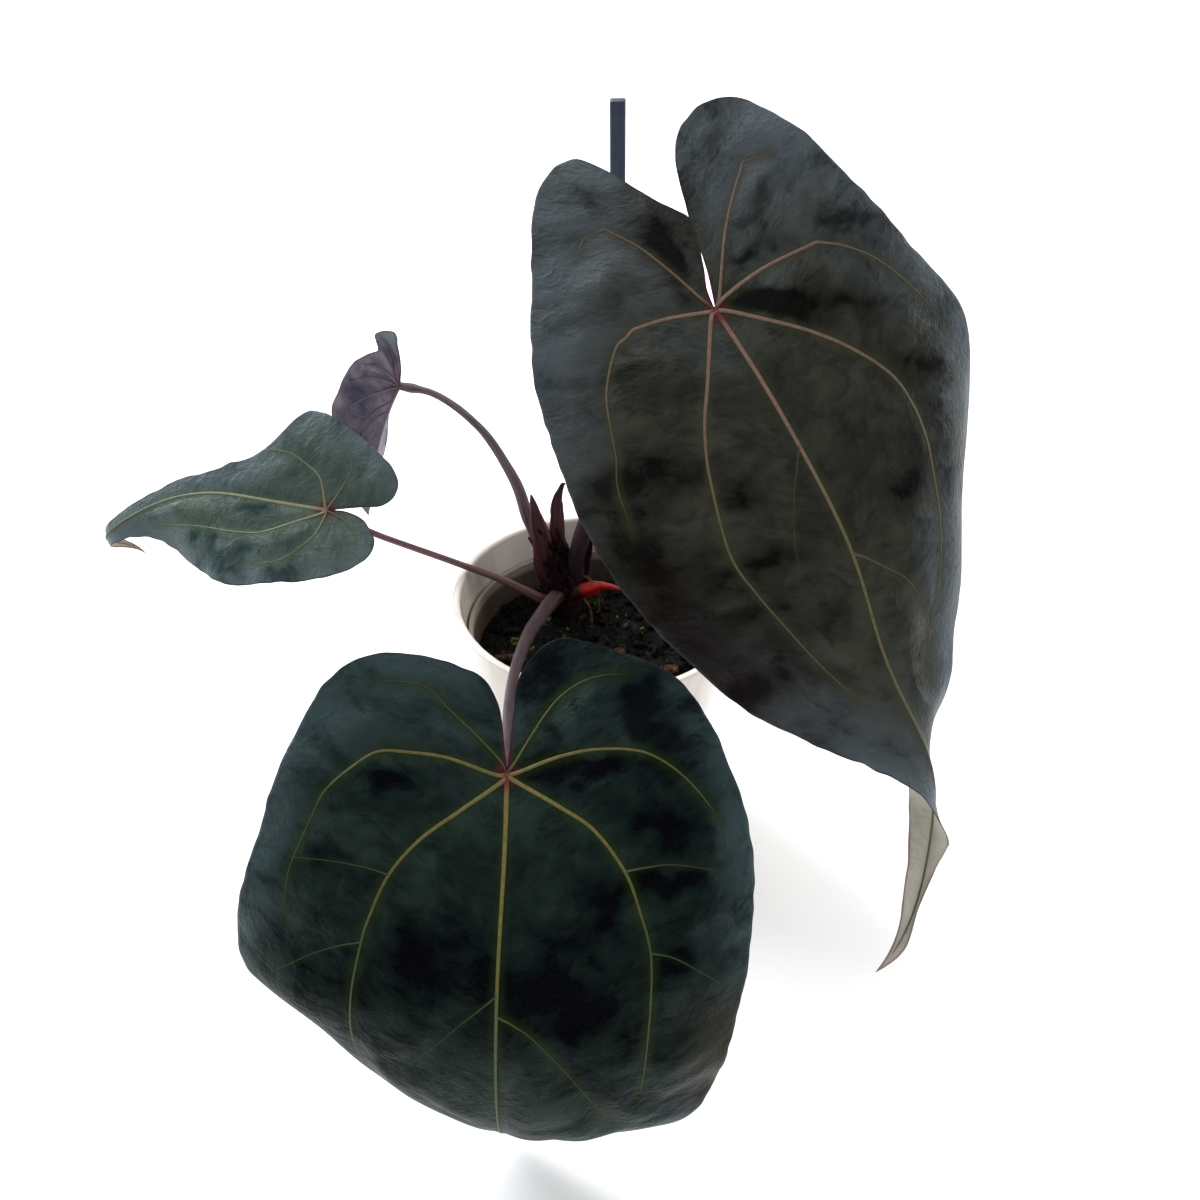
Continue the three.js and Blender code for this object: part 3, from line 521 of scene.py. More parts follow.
# %% Veins
VEIN_LINES = {
    "big": [
        (0, 1.15, [(0, 0), (0, 90), (0, 180), (0, 262)]),
        (-1, 1.0, [(0, 0), (-4.1, 2.8), (-18.9, 23.2), (-26.9, 35.4), (-33.9, 52.6), (-39.4, 79.6),
                   (-36.1, 100.1), (-29.6, 117.4), (-20.1, 135.6), (-12, 150)]),
        (-1, 0.95, [(0, 0), (-4.1, -1.6), (-16.5, -6.7), (-26.1, -9.3), (-29, -9.8), (-31.9, -8.9),
                    (-38.4, -6.9), (-49.2, 4.8),
                    (-55.2, 18.6), (-58, 27), (-63, 38), (-66, 56)]),
        (-1, 0.7, [(0, 0), (-2.2, -8), (-5, -20.2), (-9, -34.2), (-14, -44.6), (-15.3, -47),
                   (-18.2, -47.5), (-24.4, -47.7), (-30.3, -42.3)]),
        (1, 0.8, [(0, 0), (4.1, -3.5), (17.3, -19.2), (28.1, -29.2), (36, -35.1), (38.3, -36.8), (41.3, -36),
                  (48.1, -34)]),
        (1, 0.9, [(0, 0), (4.4, -2), (20.8, -2.5), (39, 0.1), (42, 0.6), (44.4, 2.4), (48.5, 5.6),
                  (55.3, 13), (59.8, 21.4), (63, 31), (66, 44)]),
        (1, 0.95, [(0, 0), (3.4, 2.5), (12.3, 12.2), (23.3, 24.1), (32.7, 36.6), (40.1, 50.2), (42, 62),
                   (41, 74), (38, 86), (34, 100), (26, 120), (20, 133), (13, 152)]),
        (1, 0.6, [(0, 98), (4, 101), (9, 106), (15, 112), (19, 121), (21, 131)]),
        (-1, 0.35, [(0, 56), (-5, 63), (-11, 72), (-17, 85), (-20, 98)]),
    ],
    "front": [
        (0, 1.15, [(0, 0), (0, 60), (0, 120), (0, 172)]),
        (-1, 1.0, [(0, 0), (-1.4, 2.4), (-15.6, 12.6), (-27.7, 22.1), (-36.9, 34.1), (-42.6, 48.6),
                   (-44.7, 56.6), (-47.6, 75.2), (-48, 98), (-42, 120)]),
        (-1, 0.85, [(0, 0), (-3.9, 0.3), (-19.5, -5), (-32.8, -6.8), (-42.6, -6.8), (-51, -1.6),
                    (-58.7, 5.4), (-62.7, 12.8), (-70, 33), (-72, 50)]),
        (-1, 0.5, [(0, 0), (-2.7, -4.7), (-11.1, -13.2), (-20.1, -21.4), (-26.7, -27.5), (-35.1, -29.5),
                   (-45.7, -29.3)]),
        (1, 0.6, [(0, 0), (2.7, -3.8), (8, -12.4), (15.5, -23.4), (23.4, -29.9), (31.5, -32.8),
                  (38.8, -33.3)]),
        (1, 0.9, [(0, 0), (3, -0.2), (17, -5.4), (30, -7.9), (43.9, -7.3), (53.7, -2.8), (62.6, 4.6),
                  (70.5, 13.4)]),
        (1, 1.0, [(0, 0), (2.9, 2.4), (17.2, 10.2), (28.9, 17.3), (39.5, 29.5), (44.9, 41.2),
                  (49.2, 54.8), (50.1, 71.6), (49.5, 92.9), (48, 113.6)]),
        (1, 0.45, [(39.5, 29.5), (46, 28), (55.7, 26.9), (71.8, 28.4)]),
        (1, 0.4, [(49.2, 54.8), (56, 56), (63, 59.3), (76.7, 67.6)]),
        (-1, 0.45, [(0, 72), (-7, 78), (-15.1, 85.4), (-31.7, 102.5)]),
        (1, 0.55, [(0, 79), (6, 82), (13.2, 87.4), (25.9, 102.8), (39.3, 128.1)]),
        (-1, 0.35, [(-36.9, 34.1), (-45, 32), (-56.1, 30.6), (-72, 30)]),
        (-1, 0.35, [(-44.7, 56.2), (-52, 58), (-61.4, 61.8), (-76, 70)]),
    ],
    "left": [
        (0, 0.95, [(0, 0), (0, 44), (0, 88), (0, 130)]),
        (1, 0.7, [(0, 0), (2, 2), (7, 11), (13, 22), (15.5, 30), (16, 45.5), (13, 67.5), (9, 84)]),
        (-1, 0.75, [(0, 0), (-1.6, 0.7), (-13, 5), (-18, 12), (-21.5, 20), (-21.5, 29)]),
        (-1, 0.45, [(0, 0), (-8, -4), (-19, -8), (-26, -5), (-32, 2)]),
        (1, 0.55, [(0, 0), (3, 0), (11, 2), (18, 7), (25, 14), (29, 26)]),
        (1, 0.35, [(0, 0), (3, -8), (8, -14), (14, -15)]),
    ],
    "young": [
        (0, 0.75, [(0, 0), (0, 22), (0, 45), (0, 66)]),
        (1, 0.5, [(0, 0), (3, 1.8), (9, 6), (14, 10), (18, 14.5), (20, 20)]),
        (1, 0.4, [(0, 0), (8, -1), (16, 0), (22, 5)]),
        (1, 0.35, [(0, 0), (7, -4), (14, -6), (20, -5)]),
        (1, 0.3, [(0, 8), (6, 14), (11, 24), (13, 36)]),
        (-1, 0.5, [(0, 0), (-7, 3), (-14, 12), (-16, 26), (-12, 42)]),
        (-1, 0.4, [(0, 0), (-6, -5), (-13, -10), (-20, -13)]),
        (1, 0.3, [(0, 14), (5, 18), (9, 27), (10, 36)]),
        (-1, 0.3, [(0, 14), (-5, 18), (-9, 27), (-10, 36)]),
    ],
}

# %% [markdown]
# These functions bend the flat blade. They work on whole arrays of flat points at once. The midrib
# is the running sum of its own directions, one for each millimetre.


# %% Bending a blade
def midrib_frame(leaf, y):
    """Directions at y: along the midrib, across it, and out of the upper face.

    With droop p and sweep w, along is (sin w cos p, -cos w cos p, -sin p), across is
    (cos w, sin w, 0), and out is their cross product. Turn rolls across and out about along.
    """
    place = (y - leaf["start"]) / leaf["step"]
    p, w = np.radians(along(leaf["droop"], place)), np.radians(along(leaf["sweep"], place))
    ahead = np.stack([np.sin(w) * np.cos(p), -np.cos(w) * np.cos(p), -np.sin(p)], -1)
    across = np.stack([np.cos(w), np.sin(w), 0 * w], -1)
    out = np.cross(ahead, across)
    if leaf["turn"]:
        angle, low, high = leaf["turn"]
        q = np.clip((y - low) / (high - low), 0, 1)
        roll = (np.radians(angle) * q * q * (3 - 2 * q))[..., None]
        across, out = (across * np.cos(roll) + out * np.sin(roll),
                       out * np.cos(roll) - across * np.sin(roll))
    return ahead, across, out


def midrib_points(leaf, y):
    """Where the midrib is at y: the sum of its directions from the foot, at the middle of each step."""
    stations = np.arange(-90.0, leaf["length"] + 1)
    steps = midrib_frame(leaf, stations[:-1] + 0.5)[0]
    path = np.concatenate([np.zeros((1, 3)), np.cumsum(steps, axis=0)])
    path -= path[90]
    return np.stack([np.interp(y, stations, path[:, k]) for k in range(3)], -1)


def place_turn(leaf):
    """The turn about the blade's normal, then its tilt, then the way it faces, as one matrix."""
    turns = [Matrix.Rotation(np.radians(leaf[key]), 3, axis)
             for key, axis in (("facing", "Z"), ("tilt", "X"), ("spin", "Z"))]
    return np.array(turns[0] @ turns[1] @ turns[2])


def bend(leaf, side, x, y):
    """The world place of flat points. Side is -1 or 1, one number or one for each point.

    A half leaves the midrib at the angle rise. At distance m its angle is rise + curl (m / half)^2,
    and its place is the sum of 12 short steps at these angles.
    """
    x, y, side = np.broadcast_arrays(np.asarray(x, float), np.asarray(y, float), side)
    place = (y - leaf["start"]) / leaf["step"]
    rise, curl = [np.radians(np.where(side < 0, along(leaf[key][0], place), along(leaf[key][1], place)))
                  for key in ("rise", "curl")]
    reach = side * x
    m = (np.arange(12) + 0.5) / 12 * reach[..., None]
    angle = rise[..., None] + curl[..., None] * (m / leaf["half"]) ** 2
    _, across, out = midrib_frame(leaf, y)
    height, period, phase = leaf["wave"]
    wave = height * (np.maximum(reach, 0) / leaf["half"]) ** 2 * np.sin(2 * pi * y / period + phase + side)
    local = (midrib_points(leaf, y) + across * (side * reach * np.cos(angle).mean(-1))[..., None]
             + out * (reach * np.sin(angle).mean(-1) + wave)[..., None])
    return local @ place_turn(leaf).T + np.array(leaf["foot"])


def outward(leaf, side, x, y, step=0.4):
    """The unit normal of the upper face, from the differences to the points beside each point."""
    down = bend(leaf, side, x, y + step) - bend(leaf, side, x, y - step)
    over = bend(leaf, side, x + step, y) - bend(leaf, side, x - step, y)
    normal = unit(np.cross(down, over))
    centre = (midrib_frame(leaf, y)[2] @ place_turn(leaf).T) * np.ones(np.shape(x) + (1,))
    near = np.clip(1 - np.abs(x) / 1.5, 0, 1)[..., None] * (np.asarray(y) >= 0)[..., None]
    return unit(normal * (1 - near) + centre * near)


# %% [markdown]
# A real blade puffs up between its veins and has small dents and folds. The height above the plain
# bent sheet depends on the distance to the nearest vein, and on smooth noise stretched sideways,
# because the smaller veins run from the large ones out to the margin.


# %% Relief
def vein_points(name, least=0.0, spacing=0.8):
    """Points along the veins of a leaf that are wide enough, for measuring distances."""
    points = []
    for _, width, line in VEIN_LINES[name]:
        if width < least:
            continue
        count = int(np.linalg.norm(np.diff(line, axis=0), axis=1).sum() / spacing) + 2
        points.append(along(line, np.linspace(0, len(line) - 1, count)))
    return np.concatenate(points)


def margin_points(name, side):
    """Points along the margin of one half of a leaf."""
    margin = LEAVES[name]["margins"][side > 0]
    return along(margin, np.linspace(0, len(margin) - 1, 500))


def nearest(x, y, points):
    """The distance from each flat place to the nearest of some points, taken in blocks."""
    place = np.stack([np.ravel(x), np.ravel(y)], -1)
    parts = [np.sqrt(((block[:, None] - points[None]) ** 2).sum(-1).min(1))
             for block in np.array_split(place, max(1, len(place) // 2000))]
    return np.concatenate(parts).reshape(np.shape(x))


# For each leaf: puff between the veins, folds on the left and on the right half, and their size.
RELIEF = {
    "big": (1.5, 1.3, 2.2, 15.0),
    "front": (1.4, 1.2, 2.2, 14.0),
    "left": (0.8, 0.9, 1.1, 9.0),
    "young": (0.5, 0.8, 0.9, 6.0),
}
# The deepest hollows: x, y, their reach across and along, their depth, and their slant in degrees.
# The depth also paints each hollow darker: painted shade.
HOLLOWS = {
    "big": [(16, 9, 13, 4.2, 1.9, 42), (38, 21, 14, 5, 0.8, 35), (18, -9, 8, 3.2, 1.2, 15),
            (34, -22, 14, 5, 0.7, -30), (-2, -24, 4.5, 13, 1.3, 0), (-25, 20, 11, 4, 0.5, 10),
            (-52, 38, 13, 7, 0.9, 10), (-36, 46, 12, 5, 0.8, -10), (-26, 61, 11, 5, 0.8, 5),
            (-32, 88, 15, 5, 0.9, 15), (-66, 58, 12, 20, 0.75, 0), (-40, 106, 13, 5, 0.7, 10),
            (-46, 128, 20, 8, 0.5, -32), (60, 3, 12, 4, 0.5, 25), (24, 84, 13, 4, 0.5, 20),
            (52, 50, 12, 4, 0.6, 30), (-12, 118, 9, 6, 0.6, 0)],
    "front": [(25, -1, 20, 4.8, 1.8, -2), (52, 16, 14, 5, 1.2, 15), (53, 32, 14, 4, 1.6, -6),
              (31, 39, 9, 7, 1.0, 0), (25, 51, 10, 6, 0.7, 0), (-26, 60, 22, 15, 1.1, 0),
              (18, 74, 22, 14, 1.2, 10), (-34, 3, 11, 4, 0.7, 5), (47, -15, 12, 5, 0.9, 25),
              (42, -28, 13, 8, 1.2, 30), (12, -34, 7, 9, 0.9, 0), (14, -17, 4, 9, 0.7, 20),
              (-62, 24, 7, 10, 0.5, 0), (62, 58, 10, 7, 0.7, 0), (34, 104, 12, 8, 0.6, 0)],
    "left": [(8, 30, 4, 7, 0.8, 0), (20, 60, 5, 8, 0.7, 20), (32, 34, 3, 7, 0.7, 0), (24, 30, 5, 8, 0.8, 0), (27, 45, 5, 7, 0.7, 0), (-14, 14, 6, 4, 0.5, 0),
             (20, 8, 5, 4, 0.5, 0), (30, 14, 4, 7, 0.6, 0), (-26, 22, 4, 6, 0.4, 0)],
    "young": [(10, 15, 5, 6, 0.8, 0), (14, 30, 5, 7, 0.6, 0), (-9, -8, 7, 2.5, 1.4, 42), (17, 8, 4, 3, 0.7, 0),
              (4, 3, 3, 2, 0.5, 0)],
}


# The patches of each leaf: x, y, and how far they reach each way. The first kind has the margin's other
# colour, and the second has less painted sheen. Then how far the painted sheen reaches in from the margin.
PATCH = {"big": [(-64, 112, 26, 46)], "front": [(78, 104, 14, 30)], "left": [(-30, 20, 8, 12)],
         "young": [(-20, -17, 9, 7)]}
BARE = {"big": [(4, -35, 14, 22), (-72, 64, 32, 46)],
        "front": [(32, -36, 38, 20), (10, 116, 26, 16), (-62, 84, 26, 26)],
        "left": [(-8, -10, 6, 12)], "young": [(20, 10, 10, 14)]}
SHEEN_REACH = {"big": 28, "front": 22, "left": 20, "young": 7}
# The frilled part of each left margin: its middle along the leaf, its reach, and how much deeper it is.
FRILL = {"big": (190, 40, 0.8), "front": (112, 34, 2.6), "left": (60, 30, 0.8), "young": (10, 20, 0.5)}


def patches(places, x, y):
    """The sum of exp(-(u^2 + v^2)) over the patches, from 0 to 1, with u and v counted in their reach."""
    total = 0 * x
    for place_x, place_y, reach_x, reach_y in places:
        total = total + 1.4 * np.exp(-((x - place_x) / reach_x) ** 2 - ((y - place_y) / reach_y) ** 2)
    return np.clip(total, 0, 1)


def painted_sheen_at(name, length, x, y, rim):
    """How strong the painted sheen is: it fades inwards, and reaches farther on the lobes and the tip."""
    far = 1 + 0.4 * soft_noise(x / 13, y / 13, 15) + 0.2 * soft_noise(x / 4, y / 4, 16)
    far = SHEEN_REACH[name] * far * (1 + np.clip(-y / 30, 0, 1.1) + np.clip(2.6 * y / length - 1.6, 0, 0.8))
    return 0.95 * np.clip(1 - rim / far, 0, 1) * (1 - 0.85 * patches(BARE[name], x, y)) * np.clip(
        np.hypot(x, y) / 40, 0.1, 1)


def relief(name, side, x, y, distance, rim):
    """The height of the blade's relief in millimetres, and its painted shade from 0 in hollows to 1.

    Puff times 1 - exp(-(d/7)^2), plus folds that fade to nothing at the veins, less the hollows.
    Each hollow is depth times exp(-(u^2 + v^2)), with u and v counted in its reach. All of it fades
    to nothing at the margin, so that the outline stays as drawn.
    """
    puff, left, right, size = RELIEF[name]
    folds = np.where(np.asarray(side) < 0, left, right)
    lean = y + 0.35 * np.abs(x)
    warp = soft_noise(x / size / 2, y / size / 2, 5) * 0.8
    ridges = soft_noise(x / size / 2.1 + 9, lean / size + warp, 1)
    middle = soft_noise(x / size * 0.9, lean / size * 2.1 + warp, 2)
    fine = soft_noise(x / size * 1.9 + 3, lean / size * 4.6 + 2 * warp, 4)
    area = 0.6 + 0.4 * soft_noise(x / size / 3 + 4, y / size / 3, 3)
    fade = 1 - np.exp(-(distance / (size * 0.5)) ** 2)
    clear = np.where(y > 0, np.clip(np.abs(x) / 3, 0, 1), 1) * (1 - np.exp(-(rim / size) ** 2))
    hollow = np.zeros(np.shape(x))
    torn_x = x + 4.5 * soft_noise(x / 6, y / 6, 6) + 0.8 * soft_noise(x / 2.2, y / 2.2, 7)
    torn_y = y + 3.5 * soft_noise(x / 6 + 8, y / 6, 8) + 0.7 * soft_noise(x / 2.2 + 8, y / 2.2, 9)
    for place_x, place_y, reach_x, reach_y, depth, slant in HOLLOWS[name]:
        c, d = np.cos(np.radians(slant)), np.sin(np.radians(slant))
        u = ((torn_x - place_x) * c + (torn_y - place_y) * d) / reach_x
        v = ((torn_y - place_y) * c - (torn_x - place_x) * d) / reach_y
        hollow = hollow + depth * np.exp(-u * u - v * v)
    height = (puff * fade + folds * fade * area * (ridges + 0.42 * middle + 0.14 * fine)) * clear
    # Painted shade for the colour: lighter where the folds rise, darker in the hollows.
    shade = np.clip(0.62 + 0.34 * (ridges + 0.6 * middle + 0.35 * fine) * area - 0.62 * hollow, 0, 1)
    return height - hollow * fade * clear, shade


# %% [markdown]
# The sheet is woven in rows. Each row runs from a rib to the margin: down one side of the lobe's own
# rib, back up its other side, and then down the midrib. The two faces stand a little apart, closer
# at the margin, and a narrow rim joins them.


# %% Weaving a blade
LOBE_RIB = 0.65
THICKNESS = 0.8


def blade_rows(leaf, half, lobe_rows, rows, frill):
    """The flat ends of all rows of one half: their points on a rib, and their points on the margin.

    The margin is pulled in by up to 0.7 mm in small uneven waves, and by more where it is frilled.
    """
    margin = leaf["margins"][half]
    end, level = leaf["lobes"][half]
    out = np.linspace(0, 2, 2 * lobe_rows + 1)
    place = np.where(out < 1, end * out, end + (level - end) * (out - 1))
    rib = along(margin, end) * LOBE_RIB * np.minimum(out, 2 - out)[:, None]
    down = np.arange(1, rows + 1) / rows
    place = np.concatenate([place, level + (len(margin) - 1 - level) * down])
    midrib = np.stack([0 * down, leaf["length"] * down ** 1.2], -1)
    start, edge = np.concatenate([rib, midrib]), along(margin, place)
    along_edge = np.concatenate([[0], np.cumsum(np.linalg.norm(np.diff(edge, axis=0), axis=1))])
    waves = 0.35 + 0.35 * soft_noise(along_edge / 4.6, 0 * along_edge + 7 * half, 21)
    if half == 0:
        place_at, reach, deep = frill
        waves = waves * (1 + deep * np.exp(-((edge[:, 1] - place_at) / reach) ** 2))
    inward = unit(start - edge)
    return start, edge + inward * (waves * np.clip(np.linalg.norm(start - edge, axis=1) / 12, 0, 1))[:, None]


def blade_sheet(name, leaf, lobe_rows, rows, columns):
    """The middle sheet of a blade: flat places, world places, normals, faces, and its two distances."""
    lines, wide_lines = vein_points(name), vein_points(name, 0.5)
    columns_at = np.linspace(0, 1, columns)[None, :, None]
    parts = []
    for half, side in ((0, -1), (1, 1)):
        start, end = blade_rows(leaf, half, lobe_rows, rows, FRILL[name])
        flat = start[:, None] + (end - start)[:, None] * columns_at
        x, y = flat[..., 0], flat[..., 1]
        distance = nearest(x, y, lines)
        halo = np.minimum(distance + 1.6, nearest(x, y, wide_lines))
        normal = outward(leaf, side, x, y)
        rim = nearest(x, y, margin_points(name, side))
        height, shade = relief(name, side, x, y, distance, rim)
        place = bend(leaf, side, x, y) + normal * height[..., None]
        # The low patch and the painted sheen near the margin, for the colour.
        low = patches(PATCH[name], x, y)
        painted_sheen = painted_sheen_at(name, leaf["length"], x, y, rim)
        flat = np.stack([x, y + 0.35 * np.abs(x), 0 * x + 10 * side], -1).reshape(-1, 3)
        faces = grid_faces(*x.shape)[:, ::side]
        parts.append((place.reshape(-1, 3), faces, normal.reshape(-1, 3), halo.ravel(), rim.ravel(),
                      np.hypot(x, y).ravel(), low.ravel(), painted_sheen.ravel(), shade.ravel(), flat))
    return join_parts(parts)


def thicken(points, faces, normals, rim):
    """Two faces half a thickness each way, thinner within 12 mm of the margin, and the rim between."""
    half = THICKNESS / 2 * (0.45 + 0.55 * np.clip(rim / 12, 0, 1))[:, None]
    count = len(points)
    both = np.concatenate([points + normals * half, points - normals * half])
    edges = np.concatenate([faces[:, [0, 1]], faces[:, [1, 2]], faces[:, [2, 0]]])
    keys = {(int(a), int(b)) for a, b in edges}
    open_edges = np.array([(a, b) for a, b in keys if (b, a) not in keys])
    a, b = open_edges[:, 0], open_edges[:, 1]
    wall = np.concatenate([np.stack([a, a + count, b], -1), np.stack([b, a + count, b + count], -1)])
    slots = np.repeat([0, 1, 2], [len(faces), len(faces), len(wall)])
    return both, np.concatenate([faces, faces[:, ::-1] + count, wall]), slots


def make_blade(name, lobe_rows, rows, columns):
    """One blade: its sheet, thickened, with the upper, under and edge finishes."""
    leaf = LEAVES[name]
    points, faces, normals, *numbers = blade_sheet(name, leaf, lobe_rows, rows, columns)
    kept, faces, _ = weld(points, faces)
    points, faces, slots = thicken(points[kept], faces, normals[kept], numbers[1][kept])
    labels = ("vein", "rim", "foot", "low", "painted_sheen", "shade", "flat")
    twice = {label: np.concatenate([values[kept]] * 2) for label, values in zip(labels, numbers)}
    finish = {"big": "blade_dark", "front": "blade_dark", "left": "blade_teal", "young": "blade_young"}
    return make_piece(f"leaf_{name}", points, faces, [UPPER[name], UNDER[name], LEAF_EDGE], slots, twice,
                      [f"blade_{name}"], finish[name])


make_blade("big", 70, 230, 64)
make_blade("front", 60, 190, 60)
make_blade("left", 40, 140, 44)
make_blade("young", 30, 110, 36)


# %% [markdown]
# Veins stand out of both faces as low ribs. Each is a flattened tube that follows the bent and
# puffed sheet, widest at the foot of the leaf and pointed at its end. On the underside they are
# higher, as they are on real leaves.


# %% Ribs
def rib_tube(name, side, width, line, lift, height, fade=0.75):
    """A flattened tube on the blade. Each ring is an oval across the vein, in the blade's own normal."""
    leaf = LEAVES[name]
    length = np.linalg.norm(np.diff(line, axis=0), axis=1).sum()
    t = np.linspace(0, 1, int(length / 0.9) + 8)
    flat = along(line, t * (len(line) - 1))
    across = unit(np.gradient(flat, axis=0))[:, ::-1] * [1, -1]
    taper = (1 - 0.78 * t ** fade) * np.minimum(1, (1 - t) * 12 + 0.05)
    a = np.linspace(0, 2 * pi, 10, endpoint=False)
    spread = width * taper[:, None] * np.cos(a)
    x = flat[:, None, 0] + across[:, None, 0] * spread
    y = flat[:, None, 1] + across[:, None, 1] * spread
    sides = np.where(x < 0, -1, 1) if side == 0 else np.full(x.shape, side)
    normal = outward(leaf, sides, x, y)
    distance = nearest(x, y, along(line, np.linspace(0, len(line) - 1, int(length / 0.8) + 2)))
    rim = nearest(x, y, margin_points(name, side))
    up = relief(name, sides, x, y, distance, rim)[0] + lift + height * taper[:, None] ** 0.5 * np.sin(a)
    body = bend(leaf, sides, x, y) + normal * up[..., None]
    body = np.concatenate([body[:1].mean(1, keepdims=True).repeat(10, 1), body,
                           body[-1:].mean(1, keepdims=True).repeat(10, 1)])
    start = np.hypot(*line[0])
    run = np.clip((start + np.concatenate([[0], t, [1]]) * length) / 110, 0, 1)
    edge = np.tile(np.abs(np.cos(a)), (len(body), 1))
    faint = np.clip(1.3 - 1.35 * width * np.concatenate([[1], taper ** 0.5, [0]]), 0, 0.88)
    return (body.reshape(-1, 3), grid_faces(len(body), 10, wrap=True), run.repeat(10), edge.ravel(),
            faint.repeat(10))


def make_ribs(name, label, lift, height, wider=1.0):
    """All veins of one face of a leaf, as one piece."""
    parts = [rib_tube(name, side, width * wider, line, lift, height)
             for side, width, line in VEIN_LINES[name]]
    points, faces, run, edge, faint = join_parts(parts)
    make_piece(f"{label}_{name}", points, faces, [VEINS[name]], None,
               {"run": run, "edge": edge, "faint": faint}, (), "petioles")


for leaf_name in LEAVES:
    make_ribs(leaf_name, "veins", 0.34, 0.3)
    make_ribs(leaf_name, "under_veins", -0.4, 0.55, 1.15)


# %% [markdown]
# ## Stalks, stem and bud
# The stalks are smooth round tubes, thicker where they leave the stem and again where the blade
# joins, at a small knee. Their paths are those of the solids, carried on into the blade's foot.

# %% Stalk and stem paths
STALKS = {
    "big": ([(-13, 28, 101), (-11, 27.5, 119), (-8, 25, 138), (-2, 20, 162), (8, 10, 194), (20, -4, 227),
             (30, -16, 252), (36.6, -25.4, 266.2)], [4.6, 4.3, 4, 3.6, 3.3, 3, 2.8, 3.1]),
    "front": ([(-17, 29, 100.5), (-20, 20, 103), (-23, 9, 106), (-26, -6, 110.5), (-29, -24, 117),
               (-31, -48, 125.5), (-32, -76, 135.8), (-31.4, -104, 145.4), (-29.6, -128, 151.6),
               (-28, -146, 155.4)], [4, 3.7, 3.4, 3.2, 2.9, 2.5, 2.1, 1.9, 1.9, 2.4]),
    "left": ([(-20, 26, 96), (-25.2, 21, 100.2), (-43.2, 17, 113.2), (-65.3, 12, 126.4), (-88, 8, 138.4),
              (-98.2, 6.5, 143.8), (-110, 5, 151), (-116.6, 3, 157)],
             [2.8, 2.4, 1.7, 1.5, 1.4, 1.4, 1.5, 1.7]),
    "young": ([(-22, 33, 106), (-28, 36, 119), (-31.8, 38, 128.7), (-34.6, 39, 135), (-38.9, 42, 148),
               (-44.9, 45, 158.7), (-51.8, 49, 168), (-57.8, 52, 173.6), (-67.6, 57, 179.6),
               (-79.3, 62, 183.6), (-93.6, 66, 184.2)],
              [3.2, 3.2, 3, 2.9, 2.6, 2.2, 2, 1.8, 1.7, 1.6, 1.8]),
}
STEM = ([(-12, 28, 58), (-13, 29, 74), (-15, 29.5, 92), (-18, 30, 103), (-21, 31, 113), (-24, 32.5, 123),
         (-26, 34, 130)], [3, 7, 9, 9.5, 8, 5.5, 2])
BRACTS = [
    ([(-21, 27, 100), (-24, 25, 112), (-26.5, 25.5, 127), (-29.4, 28.5, 140), (-32.3, 32, 150.5)],
     [5, 5, 4.5, 3, 0.5]),
    ([(-19, 29, 106), (-20.7, 30, 116), (-21, 33, 131), (-20.8, 36, 143), (-19, 38, 151.5),
      (-17.4, 38, 153.5)], [4, 3.6, 3, 2.4, 1.2, 0.4]),
    ([(-16.5, 28, 106), (-17.9, 30, 117), (-18.1, 31, 127), (-18.3, 33, 137), (-18.5, 35, 145.5)],
     [2.6, 2.2, 1.8, 1.2, 0.4]),
    ([(-22, 27, 110), (-25.6, 27, 118.7), (-30.2, 28, 126.1), (-33.5, 29, 129.7)], [3, 2.4, 1.4, 0.4]),
]
ROOTS = [
    [(-14, 27, 108), (-7, 27, 110), (-2.5, 27, 104), (0, 27, 92), (1, 27, 80)],
    [(-13, 29, 104), (-6, 31, 106), (-1, 32, 98), (2, 33, 88), (3, 33, 78)],
    [(-14, 25, 101), (-8, 22, 102), (-4, 20, 96), (-3, 19, 88), (-3, 19, 79)],
]
BUD = ([(-12.8, 24, 102), (-5.4, 22.5, 106.5), (0.1, 21, 109.5), (5.6, 19, 110.7), (10, 17, 111)],
       [3.6, 2.9, 2.1, 1.3, 0.4])


# %% Stalk finish
def stalk_finish(name, dark, light, foot, reach=0.22, streaks=2.4, shine=0.3):
    """Long streaks of two colours along the grain, and the colour of the foot fading upward."""
    def build(n):
        long = n.add("ShaderNodeMapping", Vector=n.vector("grain"), Scale=(1.0, 1.0, 0.045))
        streak = n.add("ShaderNodeTexNoise", Vector=long, Scale=streaks, Detail=5.0, Roughness=0.65)
        fleck = n.add("ShaderNodeTexNoise", Vector=n.vector("grain"), Scale=1.1, Detail=4.0, Roughness=0.7)
        tint = n.mix(n.ramp(streak, 0.38, 0.62), colour(*dark), colour(*light))
        tint = n.mix(n.ramp(fleck, 0.55, 0.75, 0.0, 0.45), tint, colour(*dark))
        tint = n.mix(n.ramp(n.number("run"), 0.0, reach, 0.95, 0.0), tint, colour(*foot))
        both = n.maths("ADD", streak, n.maths("MULTIPLY", fleck, 0.4))
        return {"Base_Color": tint, "Normal": n.bump(both, 0.5, 0.0006)}
    return new_finish(name, build, Roughness=0.5, Specular_IOR_Level=shine)


STALK = {
    "big": stalk_finish("stalk_big", (36, 22, 30), (66, 46, 54), (12, 6, 11), 0.36),
    "front": stalk_finish("stalk_front", (30, 18, 22), (62, 43, 45), (24, 7, 12), 0.2),
    "left": stalk_finish("stalk_left", (80, 52, 56), (120, 88, 90), (92, 36, 48), 0.2),
    "young": stalk_finish("stalk_young", (70, 54, 64), (108, 90, 100), (60, 34, 42), 0.12),
}


def knee(a, t):
    """A stalk swells just before the blade, and three shallow grooves run along it."""
    return 1 + 0.3 * np.exp(-((t - 0.965) / 0.022) ** 2) + 0.045 * np.sin(3 * a + 2 * t)


for leaf_name, (path, radii) in STALKS.items():
    points, faces, run, grain = tube(path, radii, 24, 160, section=knee)
    make_piece(f"stalk_{leaf_name}", points, faces, [STALK[leaf_name]], None,
               {"run": run, "grain": grain}, [f"petiole_{leaf_name}"], "petioles")

